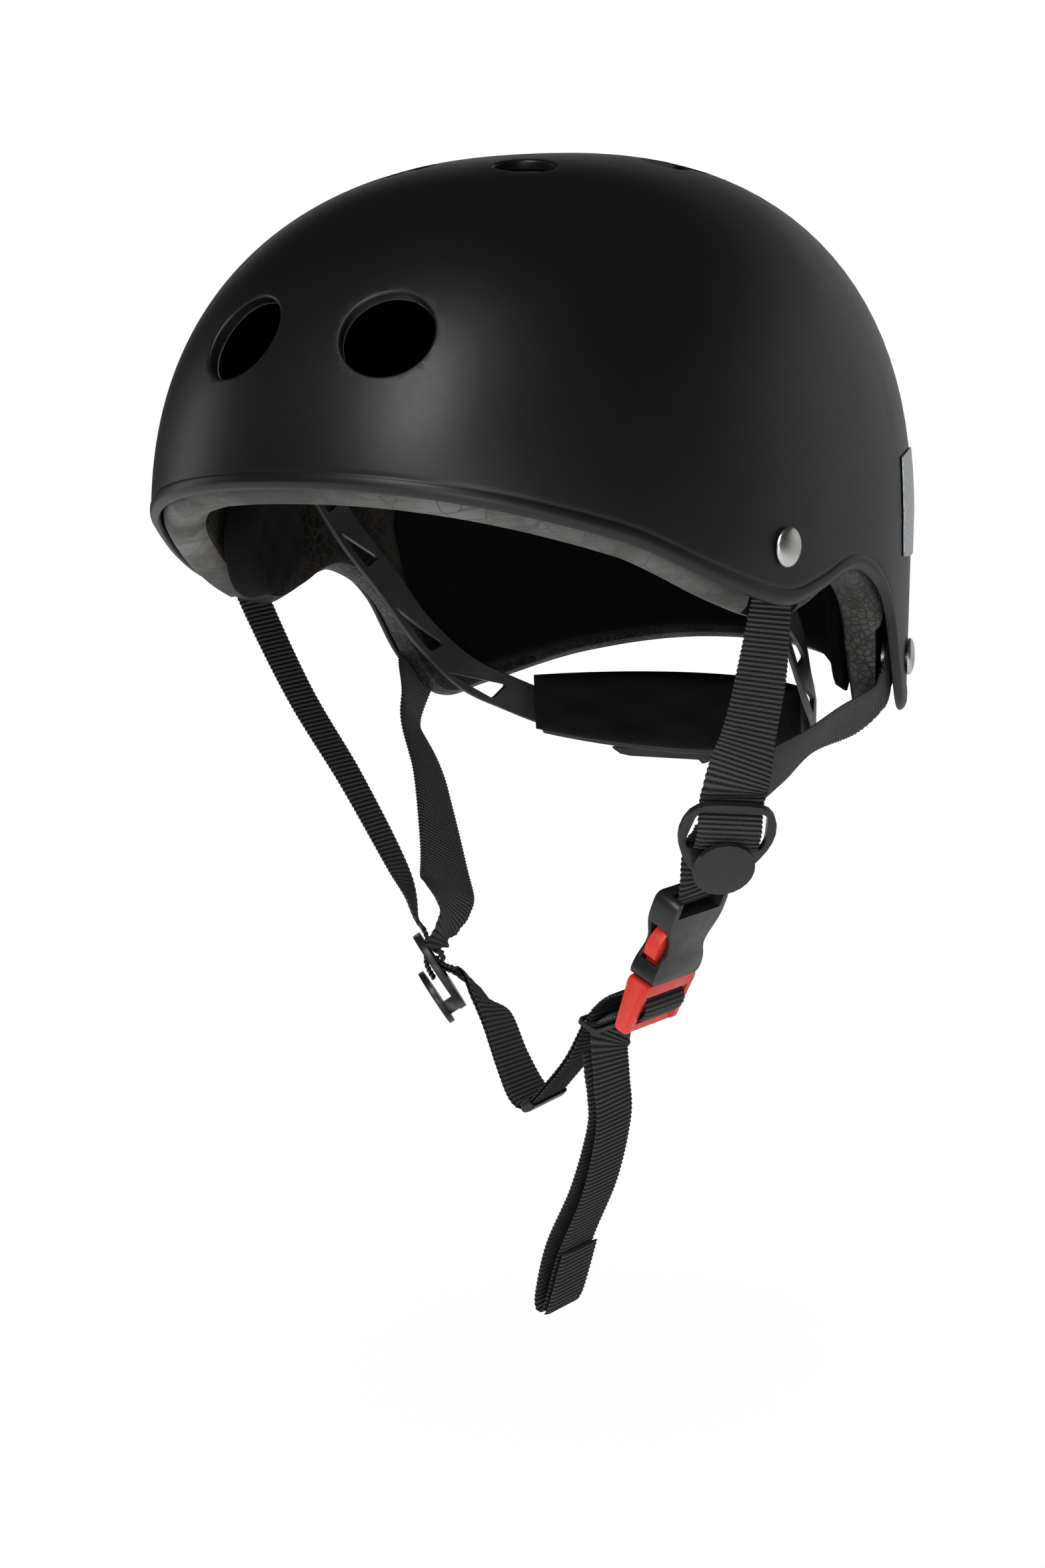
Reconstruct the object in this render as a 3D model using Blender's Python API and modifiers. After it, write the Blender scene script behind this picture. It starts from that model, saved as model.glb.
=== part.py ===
"""Half-shell water helmet with an EPS liner, a dial-adjusted cradle and a side-release chin buckle.

Metres, +Z up. The wearer faces -Y and the wearer's left is +X. The origin is in the middle of the head
opening, and the harness hangs below it. Sizes below are in millimetres.
"""

import math

import bmesh
import bpy
from mathutils import Matrix, Vector

MM = 0.001
GAP = 0.35

# Shell: a superellipse in plan and in profile over a short skirt
HALF_WIDTH = 104.6
HALF_LENGTH = 139.0
FRONT_EXTRA = 9.0
DOME_HEIGHT = 116.9
WIDEST_Z = 30.6
SKIRT_DEPTH = 70.0
SKIRT_TAPER = 0.032
PLAN_POWER = 2.265
CROWN_POWER = 2.37
SHELL_WALL = 2.8
# Height of the shell's edge at plan angles from the front, in degrees
SHELL_EDGE = (
    (0, 57.0), (25, 52.5), (50, 38.5), (67, 21.5), (78, 13.2), (85, 15.3), (91.5, 19.2), (98, 13.5),
    (104, 1.0), (109, -19.0), (115, -32.5), (125, -31.5), (150, -24.0), (180, -20.0),
)
CAP_COLUMNS = 72
SHELL_RINGS = 14
LINER_RINGS = 8
# The columns crowd together round the ears, where the edge is steepest
CROWD_ANGLE = 100.0
CROWD = 0.5

# Liner and its pads
LINER_INSET = SHELL_WALL + 0.8
LINER_WALL = 13.0
# How far the liner's edge stands above the shell's at plan angles from the front
LINER_RECESS = ((0, -2.3), (75, -2.3), (100, -0.8), (114, 0.5), (180, 3.0))
PAD_INSET = LINER_INSET + LINER_WALL + 1.6
PAD_WALL = 7.0
REAR_PAD_CLEAR = 4.0
POCKET_DEPTH = 8.6
POCKET_RISE = 3.0
# Strap pockets round each rivet: rearward or forward, down, the other way, and up
POCKETS = {"front": (-13.0, -30.0, 13.0, 17.0), "rear": (-26.0, -30.0, 20.0, 17.0)}
# Pads on the liner: plan angle, half its width in degrees, foot and top
REAR_PAD = (180.0, 76.0)
REAR_PAD_TOP = 46.0
FRONT_PAD = (0.0, 40.0, 61.0, 82.0)
TEMPLE_PAD = (66.0, 13.0, 13.0, 50.0)
TEMPLE_PAD_WALL = 10.0
CROWN_PAD = (90.0, 26.0, 84.0, 106.0)
CROWN_PAD_CLEAR = 1.0
REFLECTOR = (118.0, 10.0, 16.0, 50.0)
REFLECTOR_WALL = 0.35
REFLECTOR_LIFT = 0.4

# Vents: plan angle, height and radius
FRONT_VENT = (13.3, 98.3, 13.7)
REAR_VENT = (158.0, 88.0, 11.0)
CROWN_VENT = (34.2, 143.5, 9.2)
ROUND_VENTS = {"front": FRONT_VENT, "crown": CROWN_VENT, "rear": REAR_VENT}
SLOT_CENTRE = (38.0, 20.0)
SLOT_LENGTH = 30.0
SLOT_WIDTH = 12.0
SLOT_SPAN = (85.0, 160.0)
VENT_SPAN = (-32.0, 6.0)

# Rivets: plan angle and height
FRONT_RIVET = (77.3, 29.8)
REAR_RIVET = (117.0, -17.0)
RIVET_HEAD_RADIUS = 6.0
RIVET_HEAD_HEIGHT = 2.2
RIVET_SHANK_RADIUS = 2.9
RIVET_HOLE_RADIUS = 3.4
RIVET_HOLE_SPAN = (-10.0, 4.0)
RIVET_PLAY = 0.3
RIVET_FOOT_RADIUS = 6.4
RIVET_FOOT = 1.0

# Webbing
WEB_WIDTH = 20.0
WEB = 1.5
# The straps lie flat against a curved wall, so their middle keeps further from it
WEB_INSET = SHELL_WALL + GAP + WEB / 2 + 1.2
SPAN_STEPS = 3

# Fit system: a cradle on an arc behind the head, a dial, and two racks meshed with the dial's pinion
CRADLE_Z = -41.0
DIAL_Z = -48.0
CRADLE_ARC = 78.5
CRADLE_BACK = 90.0
CRADLE_HALF_ANGLE = 40.0
CRADLE_HEIGHT = 18.0
CRADLE_PLATE = 2.4
CRADLE_PAD_HEIGHT = 19.0
CRADLE_PAD_Z = -38.5
CRADLE_SAG = 8.0
CRADLE_PAD_WALL = 6.5
CRADLE_PAD_HALF_ANGLE = 42.0
COVER_WIDTH = 74.0
COVER_HEIGHT = 25.0
COVER_DEPTH = 8.0
COVER_WALL = 1.8
DIAL_RADIUS = 15.0
DIAL_DEPTH = 8.0
DIAL_LOBES = 14
DIAL_LOBE_DEPTH = 0.8
PINION_TEETH = 8
PINION_PITCH_RADIUS = 5.0
TOOTH_REACH = 0.9
TOOTH_HALF_WIDTH = 0.62
RACK_BACK = 3.2
RACK_WALL = 1.6
RACK_FOOT = 2.6
SHAFT_RADIUS = 3.2
RACK_INNER_END = 14.0
RACK_OUTER_END = 27.0
RACK_TEETH = 8
BAND_WIDTH = 12.0
BAND_WALL = 1.6
COVER_CORNER = 9.0
PINION_SPAN = (1.6, 5.4)
SHAFT_FOOT = 2.5
SHAFT_ROOT = 2.0
# Where a tooth's flanks stand at its root and its tip, in half widths of the tooth
ROOT_FLANK = 1.3
TIP_FLANK = 0.6
TOOTH = ((-1, -ROOT_FLANK), (1, -TIP_FLANK), (1, TIP_FLANK), (-1, ROOT_FLANK))

# Buckle: x across, y out of the socket's mouth, z through its thickness
BUCKLE_MOUTH = (56.0, -37.3, -102.0)
BUCKLE_AXIS = (-0.42, 0.055, -0.905)
BUCKLE_ACROSS = (-0.12, -0.99, 0.0)
SOCKET_LENGTH = 30.0
SOCKET_DEPTH = 9.0
CAVITY_HALF_WIDTH = 10.6
CAVITY_LENGTH = 22.0
CAVITY_HALF_DEPTH = 2.9
PLUG_HALF_WIDTH = 12.8
PLUG_INNER_WIDTH = 10.6
PLUG_LENGTH = 18.8
PRONG_HALF_DEPTH = 2.3
# Half outline of the socket from its mouth to its bar, and one prong, as width and length
SOCKET_HALF = ((12.5, 0.0), (12.5, -5.5), (8.5, -12.0), (13.5, -21.0), (13.5, -SOCKET_LENGTH))
PRONG = (
    (6.3, 3.2), (6.3, -18.6), (8.4, -18.8), (9.8, -17.4), (12.6, -13.5), (12.4, -9.5), (11.4, -8.0),
    (9.2, -7.6), (9.2, 3.2),
)
# What is cut out of the socket, as two corners of a box
SOCKET_CUTS = {
    "cavity": (
        (-CAVITY_HALF_WIDTH, -CAVITY_LENGTH, -CAVITY_HALF_DEPTH), (CAVITY_HALF_WIDTH, 2.0, CAVITY_HALF_DEPTH),
    ),
    "windows": ((-20.0, -19.5, -3.3), (20.0, -6.6, 3.3)),
    "slot": ((-10.8, -27.6, -9.0), (10.8, -24.2, 9.0)),
    "throat": ((-10.8, -33.0, -0.6), (10.8, -27.0, 9.0)),
}
# Plug: its webbing slots, shoulder, rails, tongue and the notches that the prongs hinge in
PLUG_SLOTS = ((4.6, 8.4), (11.8, 16.4))
PLUG_WALL = 3.2
SHOULDER_LENGTH = 4.4
SHOULDER_HALF_DEPTH = 4.0
RAIL_END_HALF_DEPTH = 2.6
TONGUE = ((-1.6, -17.0, -2.0), (1.6, 4.0, 2.0))
NOTCH = ((5.0, -1.0, -2.7), (10.4, 3.6, 2.7))

# Strap dividers: where each hangs, its way down and its way across
LEFT_DIVIDER = ((83.1, -45.4, -57.4), (-0.424, 0.274, -0.864), (-0.708, -0.695, 0.127))
RIGHT_DIVIDER = ((-29.0, -33.5, -110.0), (0.513, 0.143, -0.846), (-0.58, 0.8, -0.1))
DIVIDER_WALL = 2.2
DISC_RADIUS = 9.5
DISC_DROP = 6.5
DISC_LIFT = 4.6
DISC_WALL = 1.8
# Half outlines of the frame and its window, as width and height; the other half mirrors them
DIVIDER_FRAME = ((12.6, -14.0), (16.0, -1.0), (7.6, 14.0))
DIVIDER_WINDOW = ((10.9, -11.2), (12.5, -1.0), (11.6, 3.0))
NECK = ((-4.5, 9.0, -0.6), (4.5, 13.4, DISC_LIFT + DISC_WALL / 2))

# Ring and keeper round the webbing: play beside it, wall, and half the height of the hole
LOOP_PLAY = 0.6
RING_WALL = 0.8
RING_HALF_HEIGHT = 3.0
KEEPER_WALL = 1.0
KEEPER_PLAY = 1.2


def start_scene():
    """Empty the scene and make one collection for the pieces and one for the cutters."""
    for old in list(bpy.data.objects):
        bpy.data.objects.remove(old)
    groups = {}
    for name in ("water_helmet", "cutters"):
        groups[name] = bpy.data.collections.new(name)
        bpy.context.scene.collection.children.link(groups[name])
    return groups


GROUPS = start_scene()


def material(name, colour, roughness, metallic=0.0):
    """A Principled material of one colour."""
    made = bpy.data.materials.new(name)
    made.use_nodes = True
    shader = made.node_tree.nodes["Principled BSDF"]
    shader.inputs["Base Color"].default_value = (*colour, 1)
    shader.inputs["Roughness"].default_value = roughness
    shader.inputs["Metallic"].default_value = metallic
    return made


SHELL_BLACK = material("shell_black", (0.022, 0.022, 0.024), 0.42)
EPS_GREY = material("eps_grey", (0.06, 0.058, 0.055), 0.9)
PAD_BLACK = material("pad_black", (0.014, 0.012, 0.011), 0.95)
WEB_BLACK = material("web_black", (0.02, 0.02, 0.022), 0.8)
FITTING_BLACK = material("fitting_black", (0.02, 0.02, 0.022), 0.5)
RUBBER_BLACK = material("rubber_black", (0.012, 0.012, 0.012), 0.7)
BUCKLE_RED = material("buckle_red", (0.85, 0.045, 0.035), 0.35)
RIVET_SILVER = material("rivet_silver", (0.72, 0.71, 0.68), 0.25, 1.0)
PATCH_GREY = material("patch_grey", (0.55, 0.58, 0.62), 0.4)


def piece(name, mesh, look, cutter=False):
    """Link a mesh as a named piece, or as a cutter."""
    made = bpy.data.objects.new(name, mesh)
    GROUPS["cutters" if cutter else "water_helmet"].objects.link(made)
    if cutter:
        made.hide_render = True
        made.display_type = "WIRE"
    else:
        mesh.materials.append(look)
        mesh.shade_smooth()
        mesh.set_sharp_from_angle(angle=math.radians(40))
    return made


def from_bmesh(name, shape, look=None, cutter=False):
    """Turn a bmesh into a piece or a cutter."""
    mesh = bpy.data.meshes.new(name)
    shape.to_mesh(mesh)
    shape.free()
    return piece(name, mesh, look, cutter)


def solidify(obj, thickness, offset, even=True):
    """Give an open surface a wall, in millimetres."""
    wall = obj.modifiers.new("wall", "SOLIDIFY")
    wall.thickness = thickness * MM
    wall.offset = offset
    wall.use_even_offset = even
    return obj


def combine(obj, tool, operation="DIFFERENCE"):
    """Cut or join with another closed mesh."""
    step = obj.modifiers.new(operation.lower(), "BOOLEAN")
    step.operation = operation
    step.object = tool
    step.solver = "EXACT"
    return obj


def axes_matrix(origin, across, along):
    """World matrix with x across, y along and z through, from millimetres."""
    y = Vector(along).normalized()
    x = Vector(across)
    x = (x - y * x.dot(y)).normalized()
    z = x.cross(y)
    turn = Matrix((x, y, z)).transposed().to_4x4()
    return Matrix.Translation(Vector(origin) * MM) @ turn


def rim_height(knots, degrees):
    """Smooth height through the knots, with level ends."""
    degrees = abs(degrees)
    last = len(knots) - 1
    i = max(k for k in range(last) if knots[k][0] <= degrees or k == 0)

    def slope(k):
        if k in (0, last):
            return 0.0
        return (knots[k + 1][1] - knots[k - 1][1]) / (knots[k + 1][0] - knots[k - 1][0])

    (a, low), (b, high) = knots[i], knots[i + 1]
    u = (degrees - a) / (b - a)
    rise, run = high - low, b - a
    return (
        low
        + u * u * (3 - 2 * u) * rise
        + u * (1 - u) ** 2 * run * slope(i)
        - u * u * (1 - u) * run * slope(i + 1)
    )


def skin(degrees, climb, inset=0.0):
    """Point of the skin. Climb is -1 at the foot of the skirt, 0 at the widest ring and 1 at the crown."""
    angle = math.radians(degrees)
    side, front = math.sin(angle), math.cos(angle)
    x = (HALF_WIDTH - inset) * math.copysign(abs(side) ** (2 / PLAN_POWER), side)
    y = -(HALF_LENGTH - inset + FRONT_EXTRA * front) * math.copysign(abs(front) ** (2 / PLAN_POWER), front)
    if climb < 0:
        ring, z = 1 + SKIRT_TAPER * climb, WIDEST_Z + SKIRT_DEPTH * climb
    else:
        turn = min(climb, 1) * math.pi / 2
        ring = max(math.cos(turn), 0) ** (2 / CROWN_POWER)
        z = WIDEST_Z + (DOME_HEIGHT - inset) * math.sin(turn) ** (2 / CROWN_POWER)
    return Vector((x * ring, y * ring, z))


def climb_at(height, inset=0.0):
    """Climb at which the skin has this height."""
    if height < WIDEST_Z:
        return (height - WIDEST_Z) / SKIRT_DEPTH
    share = min((height - WIDEST_Z) / (DOME_HEIGHT - inset), 1)
    return 2 / math.pi * math.asin(share ** (CROWN_POWER / 2))


def on_skin(degrees, height, inset=0.0):
    """Point of the skin at a plan angle and a height."""
    return skin(degrees, climb_at(height, inset), inset)


def skin_matrix(degrees, height, inset=0.0):
    """Frame on the skin: x round the shell, y up it and z out of it."""
    climb = climb_at(height, inset)
    tiny = 0.01
    round_way = skin(degrees + 1, climb, inset) - skin(degrees - 1, climb, inset)
    up_way = skin(degrees, climb + tiny, inset) - skin(degrees, climb - tiny, inset)
    return axes_matrix(skin(degrees, climb, inset), round_way, up_way)


def crowded(degrees):
    """Even plan angles moved so that they crowd together round the ears."""
    wave = math.sin(math.radians(2 * (abs(degrees) - CROWD_ANGLE))) + math.sin(math.radians(2 * CROWD_ANGLE))
    return math.copysign(abs(degrees) - CROWD * math.degrees(wave) / 2, degrees)


def dome(name, look, inset, wall, rings, recess=((0, 0), (180, 0))):
    """A cap that follows the skin from its edge to the crown, as a wall that grows inward."""
    shape = bmesh.new()
    bmesh.ops.create_uvsphere(shape, u_segments=CAP_COLUMNS, v_segments=2 * rings, radius=1)
    below = [v for v in shape.verts if v.co.z < -0.001]
    bmesh.ops.delete(shape, geom=below, context="VERTS")
    for v in shape.verts:
        rise = math.asin(max(-1, min(v.co.z, 1))) / (math.pi / 2)
        degrees = crowded(math.degrees(math.atan2(v.co.x, -v.co.y)))
        foot = climb_at(rim_height(SHELL_EDGE, degrees) + rim_height(recess, degrees), inset)
        v.co = skin(degrees, foot + (1 - foot) * max(rise, 0), inset) * MM
    return solidify(from_bmesh(name, shape, look), wall, -1)


def rod(name, matrix, radius, start, end, sides=24, look=None, cutter=False):
    """A cylinder along z of a frame, in millimetres."""
    shape = bmesh.new()
    bmesh.ops.create_cone(
        shape, cap_ends=True, segments=sides, radius1=radius * MM, radius2=radius * MM,
        depth=(end - start) * MM,
    )
    bmesh.ops.translate(shape, verts=shape.verts, vec=(0, 0, (start + end) / 2 * MM))
    made = from_bmesh(name, shape, look, cutter)
    made.matrix_world = matrix
    return made


def block(name, matrix, low, high, look=None, cutter=False):
    """A box between two corners of a frame, in millimetres."""
    low, high = Vector(low) * MM, Vector(high) * MM
    shape = bmesh.new()
    bmesh.ops.create_cube(shape, size=1)
    bmesh.ops.scale(shape, vec=high - low, verts=shape.verts)
    bmesh.ops.translate(shape, vec=(low + high) / 2, verts=shape.verts)
    made = from_bmesh(name, shape, look, cutter)
    made.matrix_world = matrix
    return made


def plate(name, matrix, outlines, start, end, look=None, cutter=False):
    """A flat outline with holes, extruded between two heights of a frame."""
    curve = bpy.data.curves.new(name, "CURVE")
    curve.dimensions = "2D"
    curve.fill_mode = "BOTH"
    curve.extrude = (end - start) / 2 * MM
    for outline in outlines:
        spline = curve.splines.new("POLY")
        spline.points.add(len(outline) - 1)
        for point, (x, y) in zip(spline.points, outline):
            point.co = (x * MM, y * MM, 0, 1)
        spline.use_cyclic_u = True
    flat = bpy.data.objects.new(name + "_curve", curve)
    GROUPS["cutters"].objects.link(flat)
    bpy.context.view_layer.update()
    solid = flat.evaluated_get(bpy.context.evaluated_depsgraph_get())
    mesh = bpy.data.meshes.new_from_object(solid)
    mesh.name = name
    shape = bmesh.new()
    shape.from_mesh(mesh)
    bmesh.ops.remove_doubles(shape, verts=shape.verts, dist=1e-6)
    bmesh.ops.translate(shape, verts=shape.verts, vec=(0, 0, (start + end) / 2 * MM))
    bmesh.ops.recalc_face_normals(shape, faces=shape.faces)
    shape.to_mesh(mesh)
    shape.free()
    bpy.data.objects.remove(flat)
    bpy.data.curves.remove(curve)
    mesh.materials.clear()
    made = piece(name, mesh, look, cutter)
    made.matrix_world = matrix
    return made


def rounded(points, radius, steps=4):
    """An outline whose corners are rounded by quadratic curves."""
    out = []
    count = len(points)
    for i in range(count):
        before, here, after = (Vector(points[(i + k) % count]) for k in (-1, 0, 1))
        a = here + (before - here).normalized() * min(radius, (before - here).length / 2.2)
        b = here + (after - here).normalized() * min(radius, (after - here).length / 2.2)
        for k in range(steps + 1):
            u = k / steps
            out.append(tuple(a * (1 - u) ** 2 + here * 2 * u * (1 - u) + b * u * u))
    return out


def rectangle(x0, y0, x1, y1):
    return [(x0, y0), (x1, y0), (x1, y1), (x0, y1)]


def both_halves(half):
    """A closed outline from its half on the side of +x."""
    return [*half, *((-x, y) for x, y in reversed(half))]


def ring_plate(name, matrix, look, half_width, half_height, wall, length):
    """A flat loop round the webbing."""
    outer = rectangle(-half_width - wall, -half_height - wall, half_width + wall, half_height + wall)
    hole = rectangle(-half_width, -half_height, half_width, half_height)
    return plate(name, matrix, [rounded(outer, 1.6, 3), rounded(hole, 0.8, 2)], -length / 2, length / 2, look)


def smooth(points, place):
    """Catmull-Rom curve through the points, place running from 0 to 1."""
    last = len(points) - 1
    s = max(0.0, min(place, 1.0)) * last
    i = min(int(s), last - 1)
    u = s - i
    p1, p2 = points[i], points[i + 1]
    p0 = points[i - 1] if i else p1 * 2 - p2
    p3 = points[i + 2] if i + 2 <= last else p2 * 2 - p1
    return (
        p1 * 2 + (p2 - p0) * u + (p0 * 2 - p1 * 5 + p2 * 4 - p3) * u * u + (p1 * 3 - p0 - p2 * 3 + p3) * u**3
    ) / 2


def along_route(route, place):
    """Middle, direction and width direction of a ribbon's route."""
    middles = [Vector(p) for p, _ in route]
    acrosses = [Vector(a) for _, a in route]
    step = 0.01
    ahead = smooth(middles, min(place + step, 1)) - smooth(middles, max(place - step, 0))
    across = smooth(acrosses, place)
    way = ahead.normalized()
    across = (across - way * across.dot(way)).normalized()
    return smooth(middles, place), way, across


def ribbon(name, look, route, width=WEB_WIDTH, wall=WEB, steps=SPAN_STEPS):
    """A flat band along a route of middles and width directions."""
    rows = (len(route) - 1) * steps
    shape = bmesh.new()
    bmesh.ops.create_grid(shape, x_segments=rows, y_segments=2, size=1)
    for v in shape.verts:
        middle, _, across = along_route(route, (v.co.x + 1) / 2)
        v.co = (middle + across * v.co.y * width / 2) * MM
    return solidify(from_bmesh(name, shape, look), wall, 0, even=False)


def skin_patch(name, look, place, inset, wall, cells, corner):
    """A wall on the skin, with rounded corners, between two plan angles and two heights of its edges."""
    middle, half, low, high = place
    shape = bmesh.new()
    bmesh.ops.create_grid(shape, x_segments=cells[0], y_segments=cells[1], size=1)
    for v in shape.verts:
        u, t = v.co.x, v.co.y
        u, t = u * math.sqrt(1 - corner * t * t / 2), t * math.sqrt(1 - corner * u * u / 2)
        degrees = middle + half * u
        bottom, top = low(degrees), high(degrees)
        v.co = on_skin(degrees, bottom + (top - bottom) * (t + 1) / 2, inset) * MM
    return solidify(from_bmesh(name, shape, look), wall, -1)


def level(height):
    return lambda degrees: height


def flat_place(place, sign=1):
    """A patch's place on one side, with level edges."""
    middle, half, low, high = place
    return middle * sign, half, level(low), level(high)


SIDES = (("left", 1), ("right", -1))


def mirror_x(point, side):
    return Vector((point[0] * side, point[1], point[2]))


def make_cap():
    """Shell and liner, with the vents through both, rivet holes and strap pockets."""
    shell = dome("outer_shell", SHELL_BLACK, 0, SHELL_WALL, SHELL_RINGS)
    liner = dome("eps_liner", EPS_GREY, LINER_INSET, LINER_WALL, LINER_RINGS, LINER_RECESS)
    vents = []
    for side, sign in SIDES:
        for label, (degrees, height, radius) in ROUND_VENTS.items():
            matrix = skin_matrix(degrees * sign, height)
            vents.append(rod(f"{label}_vent_{side}", matrix, radius, *VENT_SPAN, cutter=True))
        x, y = SLOT_CENTRE
        ends = [(x * sign + SLOT_WIDTH / 2 * math.cos(a), y + math.sin(a) * SLOT_WIDTH / 2
                 + math.copysign((SLOT_LENGTH - SLOT_WIDTH) / 2, math.sin(a)))
                for a in (math.pi * (k + 0.5) / 10 for k in range(20))]
        vents.append(plate(f"slot_{side}", Matrix(), [ends], *SLOT_SPAN, cutter=True))
    for vent in vents:
        combine(shell, vent)
        combine(liner, vent)
    return shell, liner


def make_rivets(shell, liner):
    """Four strap rivets, their holes and the pockets that the strap ends lie in."""
    holes = {}
    foot_top = -(WEB_INSET + WEB / 2 + 2 * GAP + RIVET_PLAY)
    for side, sign in SIDES:
        for label, (degrees, height) in (("front", FRONT_RIVET), ("rear", REAR_RIVET)):
            matrix = skin_matrix(degrees * sign, height)
            hole = rod(f"{label}_hole_{side}", matrix, RIVET_HOLE_RADIUS, *RIVET_HOLE_SPAN, 12, cutter=True)
            combine(shell, hole)
            holes[label, side] = hole
            one_way, low, other_way, high = POCKETS[label]
            x0, x1 = sorted((one_way * sign, other_way * sign))
            foot = -SHELL_WALL - POCKET_DEPTH
            corners = (x0, low, foot), (x1, high, POCKET_RISE)
            pocket = block(f"{label}_pocket_{side}", matrix, *corners, cutter=True)
            combine(liner, pocket)
            profile = [(0, foot_top - RIVET_FOOT), (RIVET_FOOT_RADIUS, foot_top - RIVET_FOOT),
                       (RIVET_FOOT_RADIUS, foot_top), (RIVET_SHANK_RADIUS, foot_top),
                       (RIVET_SHANK_RADIUS, GAP), (RIVET_HEAD_RADIUS, GAP)]
            for k in range(1, 4):
                a = math.pi / 2 * k / 3
                profile.append((RIVET_HEAD_RADIUS * math.cos(a), GAP + RIVET_HEAD_HEIGHT * math.sin(a)))
            turned(f"rivet_{label}_{side}", RIVET_SILVER, profile, matrix, 14)
    return holes


def turned(name, look, profile, matrix, sides):
    """A solid turned about z from a profile of radius and height, which starts and ends on the axis."""
    shape = bmesh.new()
    verts = [shape.verts.new((max(r, 0) * MM, 0, z * MM)) for r, z in profile]
    for a, b in zip(verts, verts[1:]):
        shape.edges.new((a, b))
    bmesh.ops.spin(
        shape, geom=shape.verts[:] + shape.edges[:], axis=(0, 0, 1), cent=(0, 0, 0), angle=2 * math.pi,
        steps=sides, use_merge=True,
    )
    bmesh.ops.remove_doubles(shape, verts=shape.verts, dist=1e-6)
    bmesh.ops.recalc_face_normals(shape, faces=shape.faces)
    made = from_bmesh(name, shape, look)
    made.matrix_world = matrix
    return made


def make_pads():
    """Pads stuck inside the liner."""

    def edge(degrees):
        return rim_height(SHELL_EDGE, degrees if degrees <= 180 else 360 - degrees) + REAR_PAD_CLEAR

    rear = (*REAR_PAD, edge, level(REAR_PAD_TOP))
    skin_patch("rear_pad", PAD_BLACK, rear, PAD_INSET, PAD_WALL, (30, 4), 0.25)
    skin_patch("front_pad", PAD_BLACK, flat_place(FRONT_PAD), PAD_INSET, PAD_WALL, (12, 2), 0.5)
    for side, sign in SIDES:
        temple, crown = flat_place(TEMPLE_PAD, sign), flat_place(CROWN_PAD, sign)
        skin_patch(f"temple_pad_{side}", PAD_BLACK, temple, PAD_INSET, TEMPLE_PAD_WALL, (6, 6), 0.95)
        skin_patch(f"crown_pad_{side}", PAD_BLACK, crown, PAD_INSET + CROWN_PAD_CLEAR, PAD_WALL, (8, 3), 0.6)
        patch, lift = flat_place(REFLECTOR, sign), GAP + REFLECTOR_LIFT
        skin_patch(f"reflector_{side}", PATCH_GREY, patch, -lift, REFLECTOR_WALL, (6, 5), 0.3)


# Right arm's middle line and width direction from the temple to the cradle; the left arm mirrors it
BAND_ROUTE = (
    ((-77.0, -25.8, 56.6), (0.0, 0.9, 0.3)),
    ((-76.5, -19.0, 45.0), (0.0, 0.85, 0.5)),
    ((-75.3, -5.0, 28.0), (0.0, 0.75, 0.65)),
    ((-73.5, 12.0, 10.5), (0.0, 0.7, 0.7)),
    ((-71.0, 29.0, -9.0), (0.0, 0.7, 0.7)),
    ((-65.6, 46.6, -25.4), (0.1, 0.5, 0.85)),
    ((-59.0, 63.4, -34.9), (0.1, 0.3, 0.95)),
    ((-50.5, 80.5, -43.5), (0.0, 0.1, 1.0)),
    ((-40.0, 91.5, -47.6), (0.0, 0.0, 1.0)),
    ((-28.0, 95.8, -48.0), (0.0, 0.0, 1.0)),
)
# Each cut-out in an arm: where along it, and half its length as a share of the arm
BAND_WINDOWS = ((0.13, 0.045), (0.25, 0.05), (0.43, 0.06), (0.58, 0.07))
BAND_WINDOW_HALF = 3.4
ANCHOR = (75.0, 58.0)
ANCHOR_RADIUS = 4.5
ANCHOR_INSET = 22.1
ANCHOR_REACH = 5.2


def make_bands():
    """Headband arms with their cut-outs, and the anchors that hold them to the liner."""
    for side, sign in SIDES:
        route = [(mirror_x(p, -sign), mirror_x(a, -sign)) for p, a in BAND_ROUTE]
        band = ribbon(f"headband_arm_{side}", FITTING_BLACK, route, BAND_WIDTH, BAND_WALL, 2)
        for k, (place, half) in enumerate(BAND_WINDOWS):
            middle, way, across = along_route(route, place)
            ends = [along_route(route, place + half * s)[0] for s in (-1, 1)]
            reach = (ends[1] - ends[0]).length / 2
            matrix = axes_matrix(middle, across, way)
            w = BAND_WINDOW_HALF
            outline = rounded([(-w, -reach), (w, reach), (-w, reach * 0.75)], 1.5, 2)
            reach = BAND_WIDTH / 2
            combine(band, plate(f"band_window_{side}_{k}", matrix, [outline], -reach, reach, cutter=True))
        degrees, height = ANCHOR
        matrix = skin_matrix(degrees * sign, height, ANCHOR_INSET)
        rod(f"temple_anchor_{side}", matrix, ANCHOR_RADIUS, -ANCHOR_REACH, 0, 14, FITTING_BLACK)


def arc_wall(name, look, inner, wall, height, middle_z, half_angle, sag, cells):
    """A wall on the cradle's arc, growing outward from its inner radius, lower in the middle by the sag."""
    shape = bmesh.new()
    bmesh.ops.create_grid(shape, x_segments=cells[0], y_segments=cells[1], size=1)
    centre = CRADLE_BACK - CRADLE_ARC
    for v in shape.verts:
        u, t = v.co.x, v.co.y
        angle = math.radians(half_angle) * u
        z = middle_z + t * height / 2 - sag * (1 - u * u) * (1 - t) / 2
        v.co = Vector((inner * math.sin(angle), centre + inner * math.cos(angle), z)) * MM
    return solidify(from_bmesh(name, shape, look), wall, -1)


def gear_outline(teeth, pitch, reach, half_width):
    """A star of straight-sided teeth round the origin."""
    out = []
    for k in range(teeth):
        a = 2 * math.pi * k / teeth
        for height, width in TOOTH:
            radius, b = pitch + height * reach, width * half_width
            out.append((radius * math.cos(a) - b * math.sin(a), radius * math.sin(a) + b * math.cos(a)))
    return out


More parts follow.
